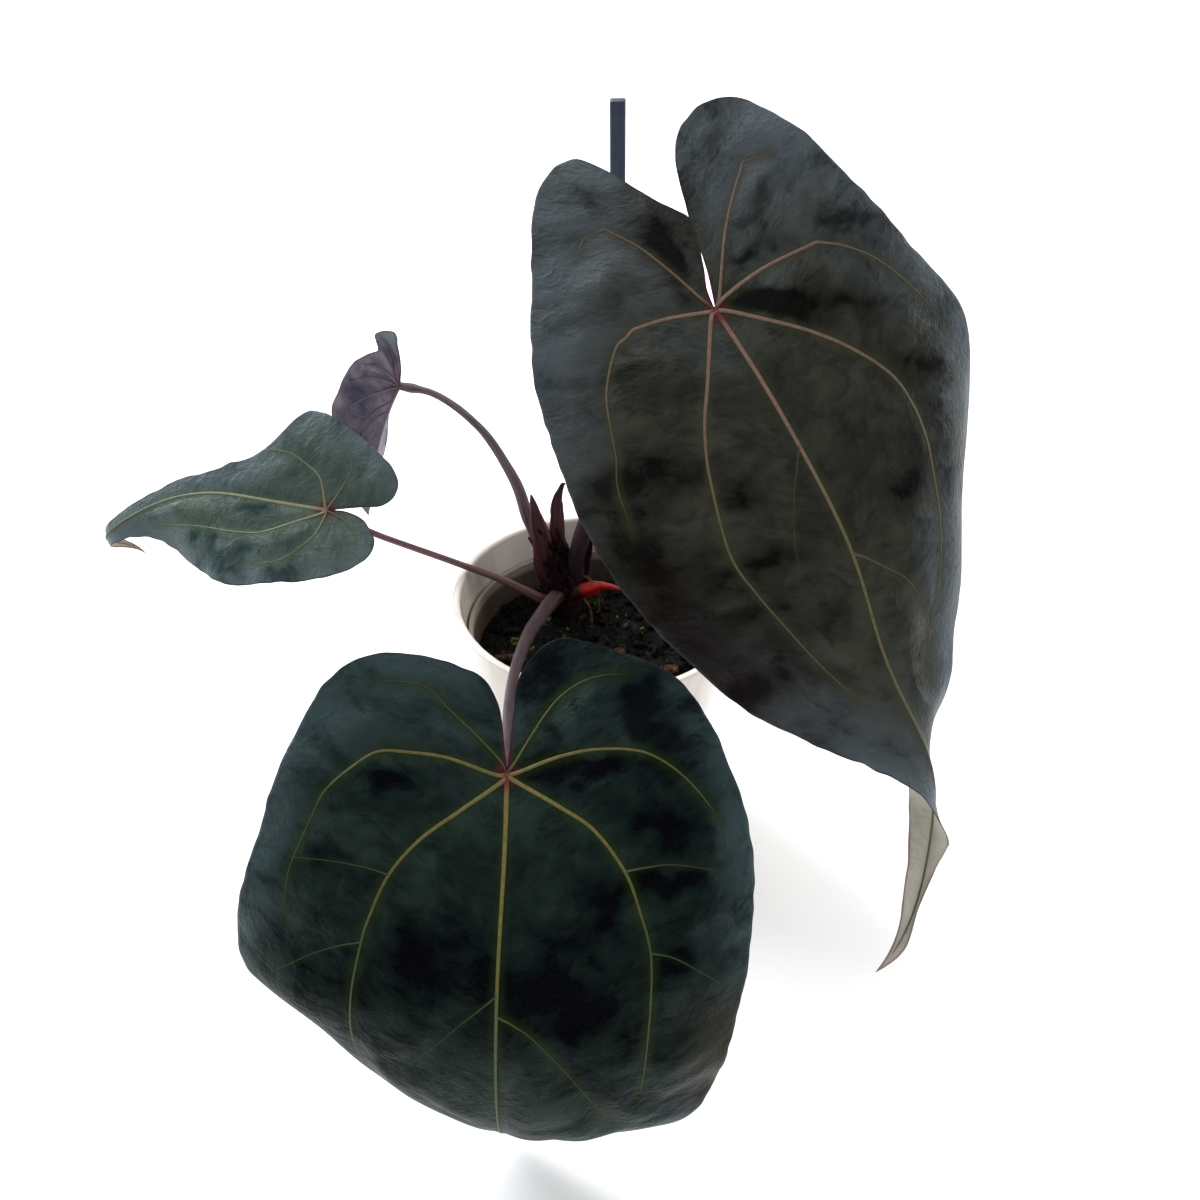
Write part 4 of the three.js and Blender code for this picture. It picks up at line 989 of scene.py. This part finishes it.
# %% [markdown]
# The stem is short and knobbly. Old papery bracts stand round it like sheaths, torn at their tips,
# and brown fibres hang between them. Tan roots leave it above the soil and turn down.


# %% Stem finishes
def bark_finish(name, dark, light, scale, strength=0.8):
    def build(n):
        grain = n.noise(scale, 6.0, 0.7)
        return {"Base_Color": n.mix(n.ramp(grain, 0.38, 0.62), colour(*dark), colour(*light)),
                "Normal": n.bump(grain, strength, 0.0012)}
    return new_finish(name, build, Roughness=0.66, Specular_IOR_Level=0.12)


STEM_SKIN = bark_finish("stem_skin", (7, 3, 5), (38, 9, 15), 260.0, 1.0)
BRACT_PAPER = stalk_finish("bract_paper", (44, 18, 28), (80, 46, 52), (24, 5, 12), 0.45, 0.9, 0.16)
OLD_PAPER = stalk_finish("old_paper", (8, 3, 7), (34, 10, 18), (24, 4, 9), 0.3, 1.6, 0.05)
ROOT_SKIN = bark_finish("root_skin", (40, 28, 20), (92, 72, 50), 500.0, 0.5)
FIBRE = bark_finish("fibre", (34, 20, 16), (92, 66, 46), 700.0, 0.3)


def bud_colour(n):
    """Dark red at the foot and along the folds, and a bright warm red on the rest."""
    fold = n.add("ShaderNodeTexNoise", Vector=n.vector("grain"), Scale=0.9, Detail=3.0)
    bright = n.mix(n.ramp(fold, 0.35, 0.65), colour(128, 8, 11), colour(178, 20, 20))
    return {"Base_Color": n.mix(n.ramp(n.number("run"), 0.14, 0.24), colour(52, 4, 9), bright),
            "Normal": n.bump(fold, 0.4, 0.0006)}


BUD_SKIN = new_finish("bud_skin", bud_colour, Roughness=0.36, Specular_IOR_Level=0.4)


# %% Stem and bracts
def knobbly(a, t):
    """The stem's radius swells at its joints and is rough all round."""
    rough = soft_noise(3 * np.cos(a) + 9, 26 * t + 3 * np.sin(a), 7)
    small = soft_noise(7 * np.cos(a) + 20, 60 * t + 7 * np.sin(a), 8)
    return 0.97 + 0.12 * rough + 0.06 * small + 0.05 * np.sin(40 * t + np.sin(a)) ** 3


def bract(path, widths, seed, facing=(0.2, -1, 0.3), thick=0.45, sides=24, rings=70):
    """A cupped scale: an oval section, pulled back at its middle, with torn, wavy margins.

    Across the scale at u from -1 to 1, its height is -0.32 w u^2 plus a few fine pleats.
    """
    t = np.linspace(0, 1, rings)
    centre = along(path, t * (len(path) - 1))
    ahead = unit(np.gradient(centre, axis=0))
    side = unit(np.cross(np.array(facing, float), ahead))
    front = np.cross(ahead, side)
    w = np.maximum(along(widths, t * (len(widths) - 1)), 0.12)[:, None]
    a = np.linspace(0, 2 * pi, sides, endpoint=False)[None, :]
    torn = 1 + 0.14 * soft_noise(16 * t[:, None] + 2 * np.sign(np.cos(a)), 0 * a + 3, seed)
    u = torn * np.cos(a)
    pleats = 0.08 * np.sin(11 * u + seed) + 0.2 * soft_noise(3 * u + 9, 7 * t[:, None], seed + 60)
    fold = -0.32 * w * u ** 2 + pleats * np.minimum(w, 1.5) / 1.5 + thick * np.sin(a)
    body = centre[:, None] + side[:, None] * (w * u)[..., None] + front[:, None] * fold[..., None]
    body = np.concatenate([centre[:1, None].repeat(sides, 1), body, centre[-1:, None].repeat(sides, 1)])
    run = np.repeat(np.concatenate([[0], t, [1]]), sides)
    grain = np.stack([2.5 * np.tile(np.cos(a).ravel(), rings + 2), 0 * run + seed, run * 25], -1)
    return body.reshape(-1, 3), grid_faces(rings + 2, sides, wrap=True), run, grain


def old_scales(count, seed):
    """Short dark scales pressed against the stem all round, lower ones first, tips leaning out."""
    draw, parts = np.random.default_rng(seed), []
    for k in range(count):
        t, a = 0.34 + 0.5 * k / count, draw.uniform(0, 2 * pi)
        out = np.array([np.cos(a), np.sin(a), 0])
        foot, tall, lean = along(STEM[0], t * 6), draw.uniform(7, 15), draw.uniform(0.3, 2.6)
        r = float(along(STEM[1], t * 6))
        path = [foot + out * (r * 0.8 - 0.5), foot + out * (r + 0.1) + [0, 0, tall * 0.35],
                foot + out * (r * 0.9 + 0.4 + lean * 0.4) + [-tall * 0.1, 0, tall * 0.7],
                foot + out * (r * 0.75 + lean) + [-tall * 0.2, 0, tall]]
        parts.append(bract(path, [draw.uniform(2, 3.4), draw.uniform(1.8, 3), 1.5, 0.2], seed + k, out, 0.3,
                           14, 26))
    return join_parts(parts)


SHEATH = ([(-11, 27, 102), (-9.4, 26, 111), (-7.6, 25, 121), (-5.6, 24.5, 131), (-4.6, 24.5, 136)],
          [5.2, 5.2, 4.2, 2.2, 0.4])
points, faces, run, grain = tube(*STEM, 48, 160, section=knobbly)
make_piece("stem_body", points, faces, [STEM_SKIN], None, {"run": run}, ["stem"], "stem")
points, faces, run, grain = join_parts([bract(path, widths, k) for k, (path, widths) in enumerate(BRACTS)])
make_piece("bracts", points, faces, [BRACT_PAPER], None, {"run": run, "grain": grain}, (), "stem")
points, faces, run, grain = join_parts([old_scales(44, 61), bract(*SHEATH, 91, (0.5, -1, 0.2), 0.5)])
make_piece("old_scales", points, faces, [OLD_PAPER], None, {"run": run, "grain": grain}, (), "stem")


# %% Roots and bud
def rough_root(a, t):
    return 1 + 0.16 * soft_noise(2 * np.cos(a) + 5, 30 * t + 2 * np.sin(a), 11)


def bud_section(a, t):
    """The bud is a folded bract: wide and ridged at its foot, and round at its point."""
    flare = 0.3 * np.exp(-((t - 0.34) / 0.16) ** 2)
    return 1 + flare + (1 - t) * (0.22 * np.sin(2 * a + 0.6) + 0.1 * np.sin(5 * a + 4 * t))


points, faces, run, grain = join_parts([tube(path, [0.9, 0.7, 0.65, 0.65, 0.6], 14, 110, section=rough_root)
                                        for path in ROOTS])
make_piece("aerial_roots", points, faces, [ROOT_SKIN], None, {"run": run}, (), "stem")
points, faces, run, grain = tube(*BUD, 32, 90, section=bud_section)
make_piece("red_spike", points, faces, [BUD_SKIN], None, {"run": run, "grain": grain}, ["red_bud"], "red_bud")


# %% Fibres on the stem
def fibre_paths(count, seed):
    """Thin strands that start on the stem and lean away from it, each with its own small bends."""
    draw = np.random.default_rng(seed)
    t = draw.uniform(0.3, 0.9, count)
    a = draw.uniform(0, 2 * pi, count)
    start = along(STEM[0], t * 6)
    r = along(STEM[1], t * 6)[:, None]
    out = np.stack([np.cos(a), np.sin(a), 0 * a], -1)
    rise = draw.uniform(-3, 11, count)[:, None] * [0, 0, 1]
    steps = np.linspace(0, 1, 5)[:, None, None]
    sway = draw.normal(0, 0.9, (5, count, 3)) * steps
    return start + out * (0.9 * r + draw.uniform(1, 4, (count, 1)) * steps) + rise * steps + sway


points, faces, run, grain = join_parts([tube(path, [0.24, 0.2, 0.15, 0.1, 0.05], 5, 14)
                                        for path in fibre_paths(110, 21).transpose(1, 0, 2)])
make_piece("stem_fibres", points, faces, [FIBRE], None, {"run": run}, (), "stem")

# %% [markdown]
# ## The potting mix
# It is a heap of dark crumbs. The base surface has mounds, crumbs and grit as three sizes of noise.
# Chips of bark, small pale bits and tufts of moss lie on it.

# %% Soil sizes
SOIL_TOP = 89.0
NURSERY_FOOT = 4.35
TAPER = (65 - 48.6) / 120


def nursery_radius(z):
    return 58 - TAPER * (NURSERY_FOOT + 99.7 - z)


def soil_height(x, y):
    """Soft mounds, as in the solid."""
    mounds = np.sin(x / 6.3 + 1.1) * np.cos(y / 5.1) + 0.6 * np.sin(x / 3.1 - y / 3.7)
    return SOIL_TOP + 0.9 * mounds


def soil_surface(sectors=260, rings=110):
    """A top that runs out to the pot, a side that goes down, and a bottom, as one turned sheet."""
    a = np.linspace(0, 2 * pi, sectors, endpoint=False)[None, :]
    r = np.concatenate([np.linspace(0, 53.2, rings), [53.0, 41.0, 38.5, 0]])[:, None]
    x, y = r * np.cos(a), r * np.sin(a)
    crumbs = (1.1 * soft_noise(x / 4.1, y / 4.1, 31) + 0.8 * soft_noise(x / 1.9, y / 1.9, 32)
              + 0.4 * np.abs(soft_noise(x / 0.9, y / 0.9, 33)))
    z = soil_height(x, y) + crumbs * np.clip((53.6 - r) / 2, 0, 1)
    z[rings:] = np.array([84.0, 10.0, 6.3, 6.3])[:, None]
    return np.stack([x, y, z], -1).reshape(-1, 3), grid_faces(len(r), sectors, wrap=True)


# %% Soil finishes
def soil_finish(name, dark, middle, light):
    def build(n):
        grain, spot = n.noise(380.0, 8.0, 0.7), n.noise(160.0, 3.0, 0.6)
        tint = n.mix(n.ramp(grain, 0.4, 0.62), colour(*dark), colour(*middle))
        tint = n.mix(n.ramp(spot, 0.62, 0.7), tint, colour(*light))
        return {"Base_Color": tint, "Roughness": n.ramp(grain, 0.3, 0.7, 0.95, 0.55),
                "Normal": n.bump(grain, 1.0, 0.0015)}
    return new_finish(name, build, Specular_IOR_Level=0.14)


SOIL = soil_finish("damp_mix", (2, 2, 2), (7, 6, 5), (24, 22, 14))
CHIP = soil_finish("bark_chip", (34, 22, 14), (84, 60, 40), (132, 104, 66))
DARK_CHIP = soil_finish("dark_chip", (3, 3, 3), (11, 8, 6), (38, 28, 18))
PALE_CHIP = soil_finish("pale_chip", (70, 70, 28), (124, 126, 56), (178, 172, 104))
MOSS = soil_finish("moss", (6, 20, 14), (26, 46, 22), (92, 104, 40))


# %% Soil and chips
points, faces = soil_surface()
make_piece("soil", points, faces, [SOIL], None, None, ["potting_mix"], "potting_mix")


def cad_draw(seed):
    """The same chain of random numbers as the solid's chips use."""
    while True:
        seed = (seed * 1664525 + 1013904223) % 4294967296
        yield seed / 4294967296


def large_chips(count=26):
    """Place, size and turn of the chips that the solid has, clear of the stem and the stake."""
    draw, chips = cad_draw(11), []
    while len(chips) < count:
        angle, r = 2 * pi * next(draw), 47 * next(draw) ** 0.5
        x, y = r * np.cos(angle), r * np.sin(angle)
        size = [5 + 6 * next(draw), 3 + 3 * next(draw), 2.4 + 1.6 * next(draw)]
        turn = [0.7 * (next(draw) - 0.5), 0.7 * (next(draw) - 0.5), pi * next(draw)]
        if np.hypot(x + 15, y - 29.5) > 22 and np.hypot(x - 9.9, y - 44) > 9:
            chips.append([x, y, *size, *turn])
    return np.array(chips)


def small_chips(count, seed, largest):
    """More crumbs of bark between them, of every size down to a millimetre."""
    draw = np.random.default_rng(seed)
    angle, r = draw.uniform(0, 2 * pi, count), 52 * np.sqrt(draw.uniform(0, 1, count))
    size = draw.uniform(0.3, 1, (count, 1)) ** 1.6 * largest * draw.uniform([1, 0.5, 0.3], [1.4, 0.9, 0.6], (count, 3))
    turn = draw.uniform(-1, 1, (count, 3)) * [0.8, 0.8, pi]
    chips = np.column_stack([r * np.cos(angle), r * np.sin(angle), size, turn])
    return chips[np.hypot(chips[:, 0] + 15, chips[:, 1] - 29.5) > 9]


def chip_mesh(chips, seed, sides=8, rings=6):
    """Rounded blocks with broken faces: a squared ball, scaled, roughened, turned and set down."""
    b, a = np.meshgrid(np.linspace(-pi / 2, pi / 2, rings), np.linspace(0, 2 * pi, sides, endpoint=False),
                       indexing="ij")
    squared = lambda c: np.sign(c) * np.abs(c) ** 0.3
    ball = np.stack([squared(np.cos(b) * np.cos(a)), squared(np.cos(b) * np.sin(a)), squared(np.sin(b))], -1)
    ball = ball.reshape(1, -1, 3)
    rough = 1 + np.random.default_rng(seed).uniform(-0.16, 0.16, (len(chips), ball.shape[1], 1))
    rough[:, :sides], rough[:, -sides:] = 1, 1
    body = ball * rough * chips[:, None, 2:5] / 2
    for axis in (0, 1, 2):
        c, s = np.cos(chips[:, 5 + axis])[:, None], np.sin(chips[:, 5 + axis])[:, None]
        u, v = [k for k in (0, 1, 2) if k != axis]
        body[..., u], body[..., v] = body[..., u] * c - body[..., v] * s, body[..., u] * s + body[..., v] * c
    x, y = chips[:, 0], chips[:, 1]
    ground = np.stack([x, y, soil_height(x, y) + 0.3 + 0.15 * chips[:, 4]], -1)
    body = body + ground[:, None]
    faces = grid_faces(rings, sides, wrap=True)
    start = (np.arange(len(chips)) * ball.shape[1])[:, None, None]
    return body.reshape(-1, 3), (faces[None] + start).reshape(-1, 3)


for label, chips, seed, material in (("bark_chips", large_chips()[:21], 41, DARK_CHIP),
                                     ("tan_chips", large_chips()[21:], 41, CHIP),
                                     ("small_chips", small_chips(420, 42, 4.5), 43, DARK_CHIP),
                                     ("tan_bits", small_chips(60, 44, 4.0), 45, CHIP),
                                     ("pale_bits", small_chips(70, 46, 3.2), 47, PALE_CHIP)):
    make_piece(label, *chip_mesh(chips, seed), [material], finish="potting_mix")


# %% [markdown]
# Moss grows in small patches as tufts of short blades. Each blade is a thin three-sided spike, bent
# outwards, and one array holds them all.


# %% Moss
def moss_tufts(seed=51, blades=34):
    """Spikes round a few middles: height 1 to 3.5 mm, leaning out by a random share of it."""
    draw = np.random.default_rng(seed)
    middles = np.array([(-38, 12), (-30, 22), (-41, 2), (-22, -6), (4, 10), (12, 2), (-8, 4), (22, 14),
                        (-34, -12), (16, -14), (30, 0)], float)
    count = len(middles) * blades
    centre = middles.repeat(blades, 0) + draw.normal(0, 2.6, (count, 2))
    tall, lean = draw.uniform(1.2, 3.6, count), draw.uniform(0, 2 * pi, count)
    t, a = np.linspace(0, 1, 4)[None, :, None], np.arange(3)[None, None, :] * 2 * pi / 3
    r = 0.32 * (1.02 - t)
    shift = tall[:, None, None] * 0.45 * t ** 2
    x = centre[:, 0, None, None] + shift * np.cos(lean)[:, None, None] + r * np.cos(a)
    y = centre[:, 1, None, None] + shift * np.sin(lean)[:, None, None] + r * np.sin(a)
    ground = soil_height(centre[:, 0], centre[:, 1])[:, None, None]
    z = ground - 0.6 + (tall[:, None, None] + 0.6) * t + 0 * a
    body = np.stack([x, y, z], -1)
    ends = [body[:, k].mean(1, keepdims=True)[:, None].repeat(3, 2) for k in (0, -1)]
    body = np.concatenate([ends[0], body, ends[1]], 1)
    faces = grid_faces(6, 3, wrap=True)[None] + (np.arange(count) * 18)[:, None, None]
    return body.reshape(-1, 3), faces.reshape(-1, 3)


make_piece("moss_tufts", *moss_tufts(), [MOSS], finish="potting_mix")


# %% [markdown]
# ## The pots and the stake
# Both pots are turned: a profile of radius and height goes once round the upright axis. The cover
# pot is glazed, so it gets a clear coat over a warm white body. The inner pot is thin moulded
# plastic with a rolled lip.


# %% Turned pots
def turned(profile, sides=240):
    """A closed body of revolution from (radius, height) pairs."""
    profile = np.array(profile, float)
    a = np.linspace(0, 2 * pi, sides, endpoint=False)[None, :]
    r, z = profile[:, :1], profile[:, 1:]
    body = np.stack([r * np.cos(a), r * np.sin(a), z + 0 * a], -1)
    return body.reshape(-1, 3), grid_faces(len(profile), sides, wrap=True)


def rounded(corners, radius, steps=6):
    """Rounds each inner corner of a profile with a short curve that starts radius before it."""
    corners = np.array(corners, float)
    before, here, after = corners[:-2], corners[1:-1], corners[2:]
    reach = lambda other: here + (other - here) * np.minimum(
        0.48, radius / np.maximum(np.linalg.norm(other - here, axis=1), 1e-6))[:, None]
    t = np.linspace(0, 1, steps)[None, :, None]
    a, b, c = reach(before)[:, None], here[:, None], reach(after)[:, None]
    curve = a * (1 - t) ** 2 + 2 * b * t * (1 - t) + c * t ** 2
    return np.concatenate([corners[:1], curve.reshape(-1, 2), corners[-1:]])


cover_radius = lambda z: 48.6 + TAPER * z
cover = rounded([(0, 0), (cover_radius(0), 0), (cover_radius(120), 120), (cover_radius(120) - 3.8, 120),
                 (cover_radius(4) - 3.8, 4), (0, 4)], 1.6, 8)
wall_top = NURSERY_FOOT + 99.7
nursery = rounded([(0, NURSERY_FOOT), (nursery_radius(NURSERY_FOOT) - 0.4, NURSERY_FOOT),
                   (nursery_radius(wall_top - 4) - 0.6, wall_top - 4), (57.7, wall_top - 3.8), (58, wall_top),
                   (56.1, wall_top), (nursery_radius(wall_top - 5) - 1.8, wall_top - 5),
                   (nursery_radius(NURSERY_FOOT + 2) - 1.6, NURSERY_FOOT + 1.5), (0, NURSERY_FOOT + 1.5)], 0.5, 5)


# %% Pot finishes
def glaze(n):
    """A warm white that is greyer in soft upright streaks, as a poured glaze is."""
    streaks = n.add("ShaderNodeTexNoise", Vector=n.add(
        "ShaderNodeMapping", Vector=n.object_place(), Scale=(1.0, 1.0, 0.12)), Scale=70.0, Detail=3.0)
    tint = n.mix(n.ramp(streaks, 0.35, 0.7), colour(222, 215, 206), colour(204, 196, 185))
    return {"Base_Color": tint, "Normal": n.bump(n.noise(45.0, 2.0), 0.12, 0.002)}


def moulded(n):
    """Taupe plastic, paler at the lip, with faint scratches and dark blotches, denser towards the bottom."""
    height = n.add("ShaderNodeSeparateXYZ", 2, i0=n.object_place())
    # The wall below the lip is darker: partly the plastic's own taupe, partly painted shade inside the pot.
    tint = n.mix(n.ramp(height, 0.0985, 0.1015), colour(86, 74, 66), colour(150, 138, 126))
    # Dark blotches, most of them below 88 mm.
    dark_blotches = n.ramp(n.noise(240.0, 6.0, 0.7), 0.52, 0.66, 0.0, 0.6)
    low = n.ramp(height, 0.088, 0.1, 1.0, 0.15)
    tint = n.mix(n.maths("MULTIPLY", dark_blotches, low), tint, colour(34, 27, 23))
    return {"Base_Color": tint, "Normal": n.bump(n.noise(600.0, 2.0), 0.15, 0.0004)}


GLAZE = new_finish("white_glaze", glaze, Roughness=0.22, Coat_Weight=0.6, Coat_Roughness=0.06)
PLASTIC = new_finish("pot_plastic", moulded, Roughness=0.48, Specular_IOR_Level=0.4)
make_piece("white_pot", *turned(cover), [GLAZE], nodes=["cover_pot"], finish="cover_pot")
make_piece("inner_pot", *turned(nursery), [PLASTIC], nodes=["nursery_pot"], finish="nursery_pot")

# %% [markdown]
# The stake is a square bar of dark blue plastic with soft edges, flat at its top. It leans back a
# little, as the solid does.

# %% Stake
STAKE_FOOT, STAKE_HEAD, STAKE_WIDTH = (9.9, 44, 60), (-0.4, 60, 314.2), 6.2


def stake_bar():
    """Rings of a rounded square along a straight line, with the end rings drawn in."""
    foot, head = np.array(STAKE_FOOT, float), np.array(STAKE_HEAD, float)
    long = np.linalg.norm(head - foot)
    at = np.array([0, 0, 0.4, *np.linspace(6, long - 6, 40), long - 0.4, long, long])
    draw_in = np.array([0, 0.9, 1, *[1] * 40, 1, 0.9, 0])
    lean = Vector((0, 0, 1)).rotation_difference(Vector(head - foot)).to_matrix()
    a = np.linspace(0, 2 * pi, 48, endpoint=False) + pi / 48
    edge = (np.abs(np.cos(a)) ** 9 + np.abs(np.sin(a)) ** 9) ** (-1 / 9) * STAKE_WIDTH / 2
    ring = np.stack([edge * np.cos(a), edge * np.sin(a)], -1)[None] * draw_in[:, None, None]
    body = np.concatenate([ring, np.broadcast_to(at[:, None, None], (len(at), 48, 1))], -1)
    return (body @ np.array(lean).T + foot).reshape(-1, 3), grid_faces(len(at), 48, wrap=True)


def stake_plastic(n):
    grain = n.add("ShaderNodeTexNoise", Vector=n.add(
        "ShaderNodeMapping", Vector=n.object_place(), Scale=(1.0, 1.0, 0.06)), Scale=900.0, Detail=3.0)
    return {"Base_Color": n.mix(grain, colour(24, 32, 50), colour(50, 62, 88)),
            "Normal": n.bump(grain, 0.2, 0.0004)}


STAKE = new_finish("stake_plastic", stake_plastic, Roughness=0.38, Specular_IOR_Level=0.5)
make_piece("stake", *stake_bar(), [STAKE], nodes=["support_stake"], finish="support_stake")

# %% [markdown]
# ## Floor and light
# The floor is plain and pale. A bright even sky does most of the work, a large soft light stands
# behind and to the left like a window, and a weak one fills the front.


# %% Studio
def floor():
    mesh = bpy.data.meshes.new("floor")
    mesh.from_pydata([(-6, -6, 0), (6, -6, 0), (6, 6, 0), (-6, 6, 0)], [], [(0, 1, 2, 3)])
    mesh.materials.append(new_finish("floor", lambda n: {}, Base_Color=colour(250, 250, 250), Roughness=0.8,
                                     Specular_IOR_Level=0.1))
    plane = bpy.data.objects.new("floor", mesh)
    plane.location.z = -0.0005
    bpy.context.collection.objects.link(plane)


def soft_light(name, place, aim, size, power, tint):
    data = bpy.data.lights.new(name, "AREA")
    data.size, data.energy, data.color = size, power, tint
    light = bpy.data.objects.new(name, data)
    light.location = place
    light.rotation_euler = (Vector(aim) - Vector(place)).to_track_quat("-Z", "Y").to_euler()
    bpy.context.collection.objects.link(light)


def soft_sun(name, towards, power, spread):
    data = bpy.data.lights.new(name, "SUN")
    data.energy, data.angle = power, np.radians(spread)
    light = bpy.data.objects.new(name, data)
    light.rotation_euler = Vector(towards).to_track_quat("Z", "Y").to_euler()
    bpy.context.collection.objects.link(light)


floor()
soft_light("window", (-1.3, 0.9, 1.1), (-0.05, -0.05, 0.2), 1.3, 52, (0.92, 0.96, 1.0))
soft_light("side", (1.5, 0.5, 0.9), (0.1, -0.05, 0.2), 1.0, 16, (0.95, 0.97, 1.0))
soft_sun("daylight", (-0.35, 0.5, 0.8), 1.7, 70)
world = bpy.data.worlds.new("studio")
world.use_nodes = True
world.node_tree.nodes["Background"].inputs["Color"].default_value = (1, 1, 1, 1)
world.node_tree.nodes["Background"].inputs["Strength"].default_value = 0.5
bpy.context.scene.world = world
bpy.context.scene.view_settings.view_transform = "Standard"
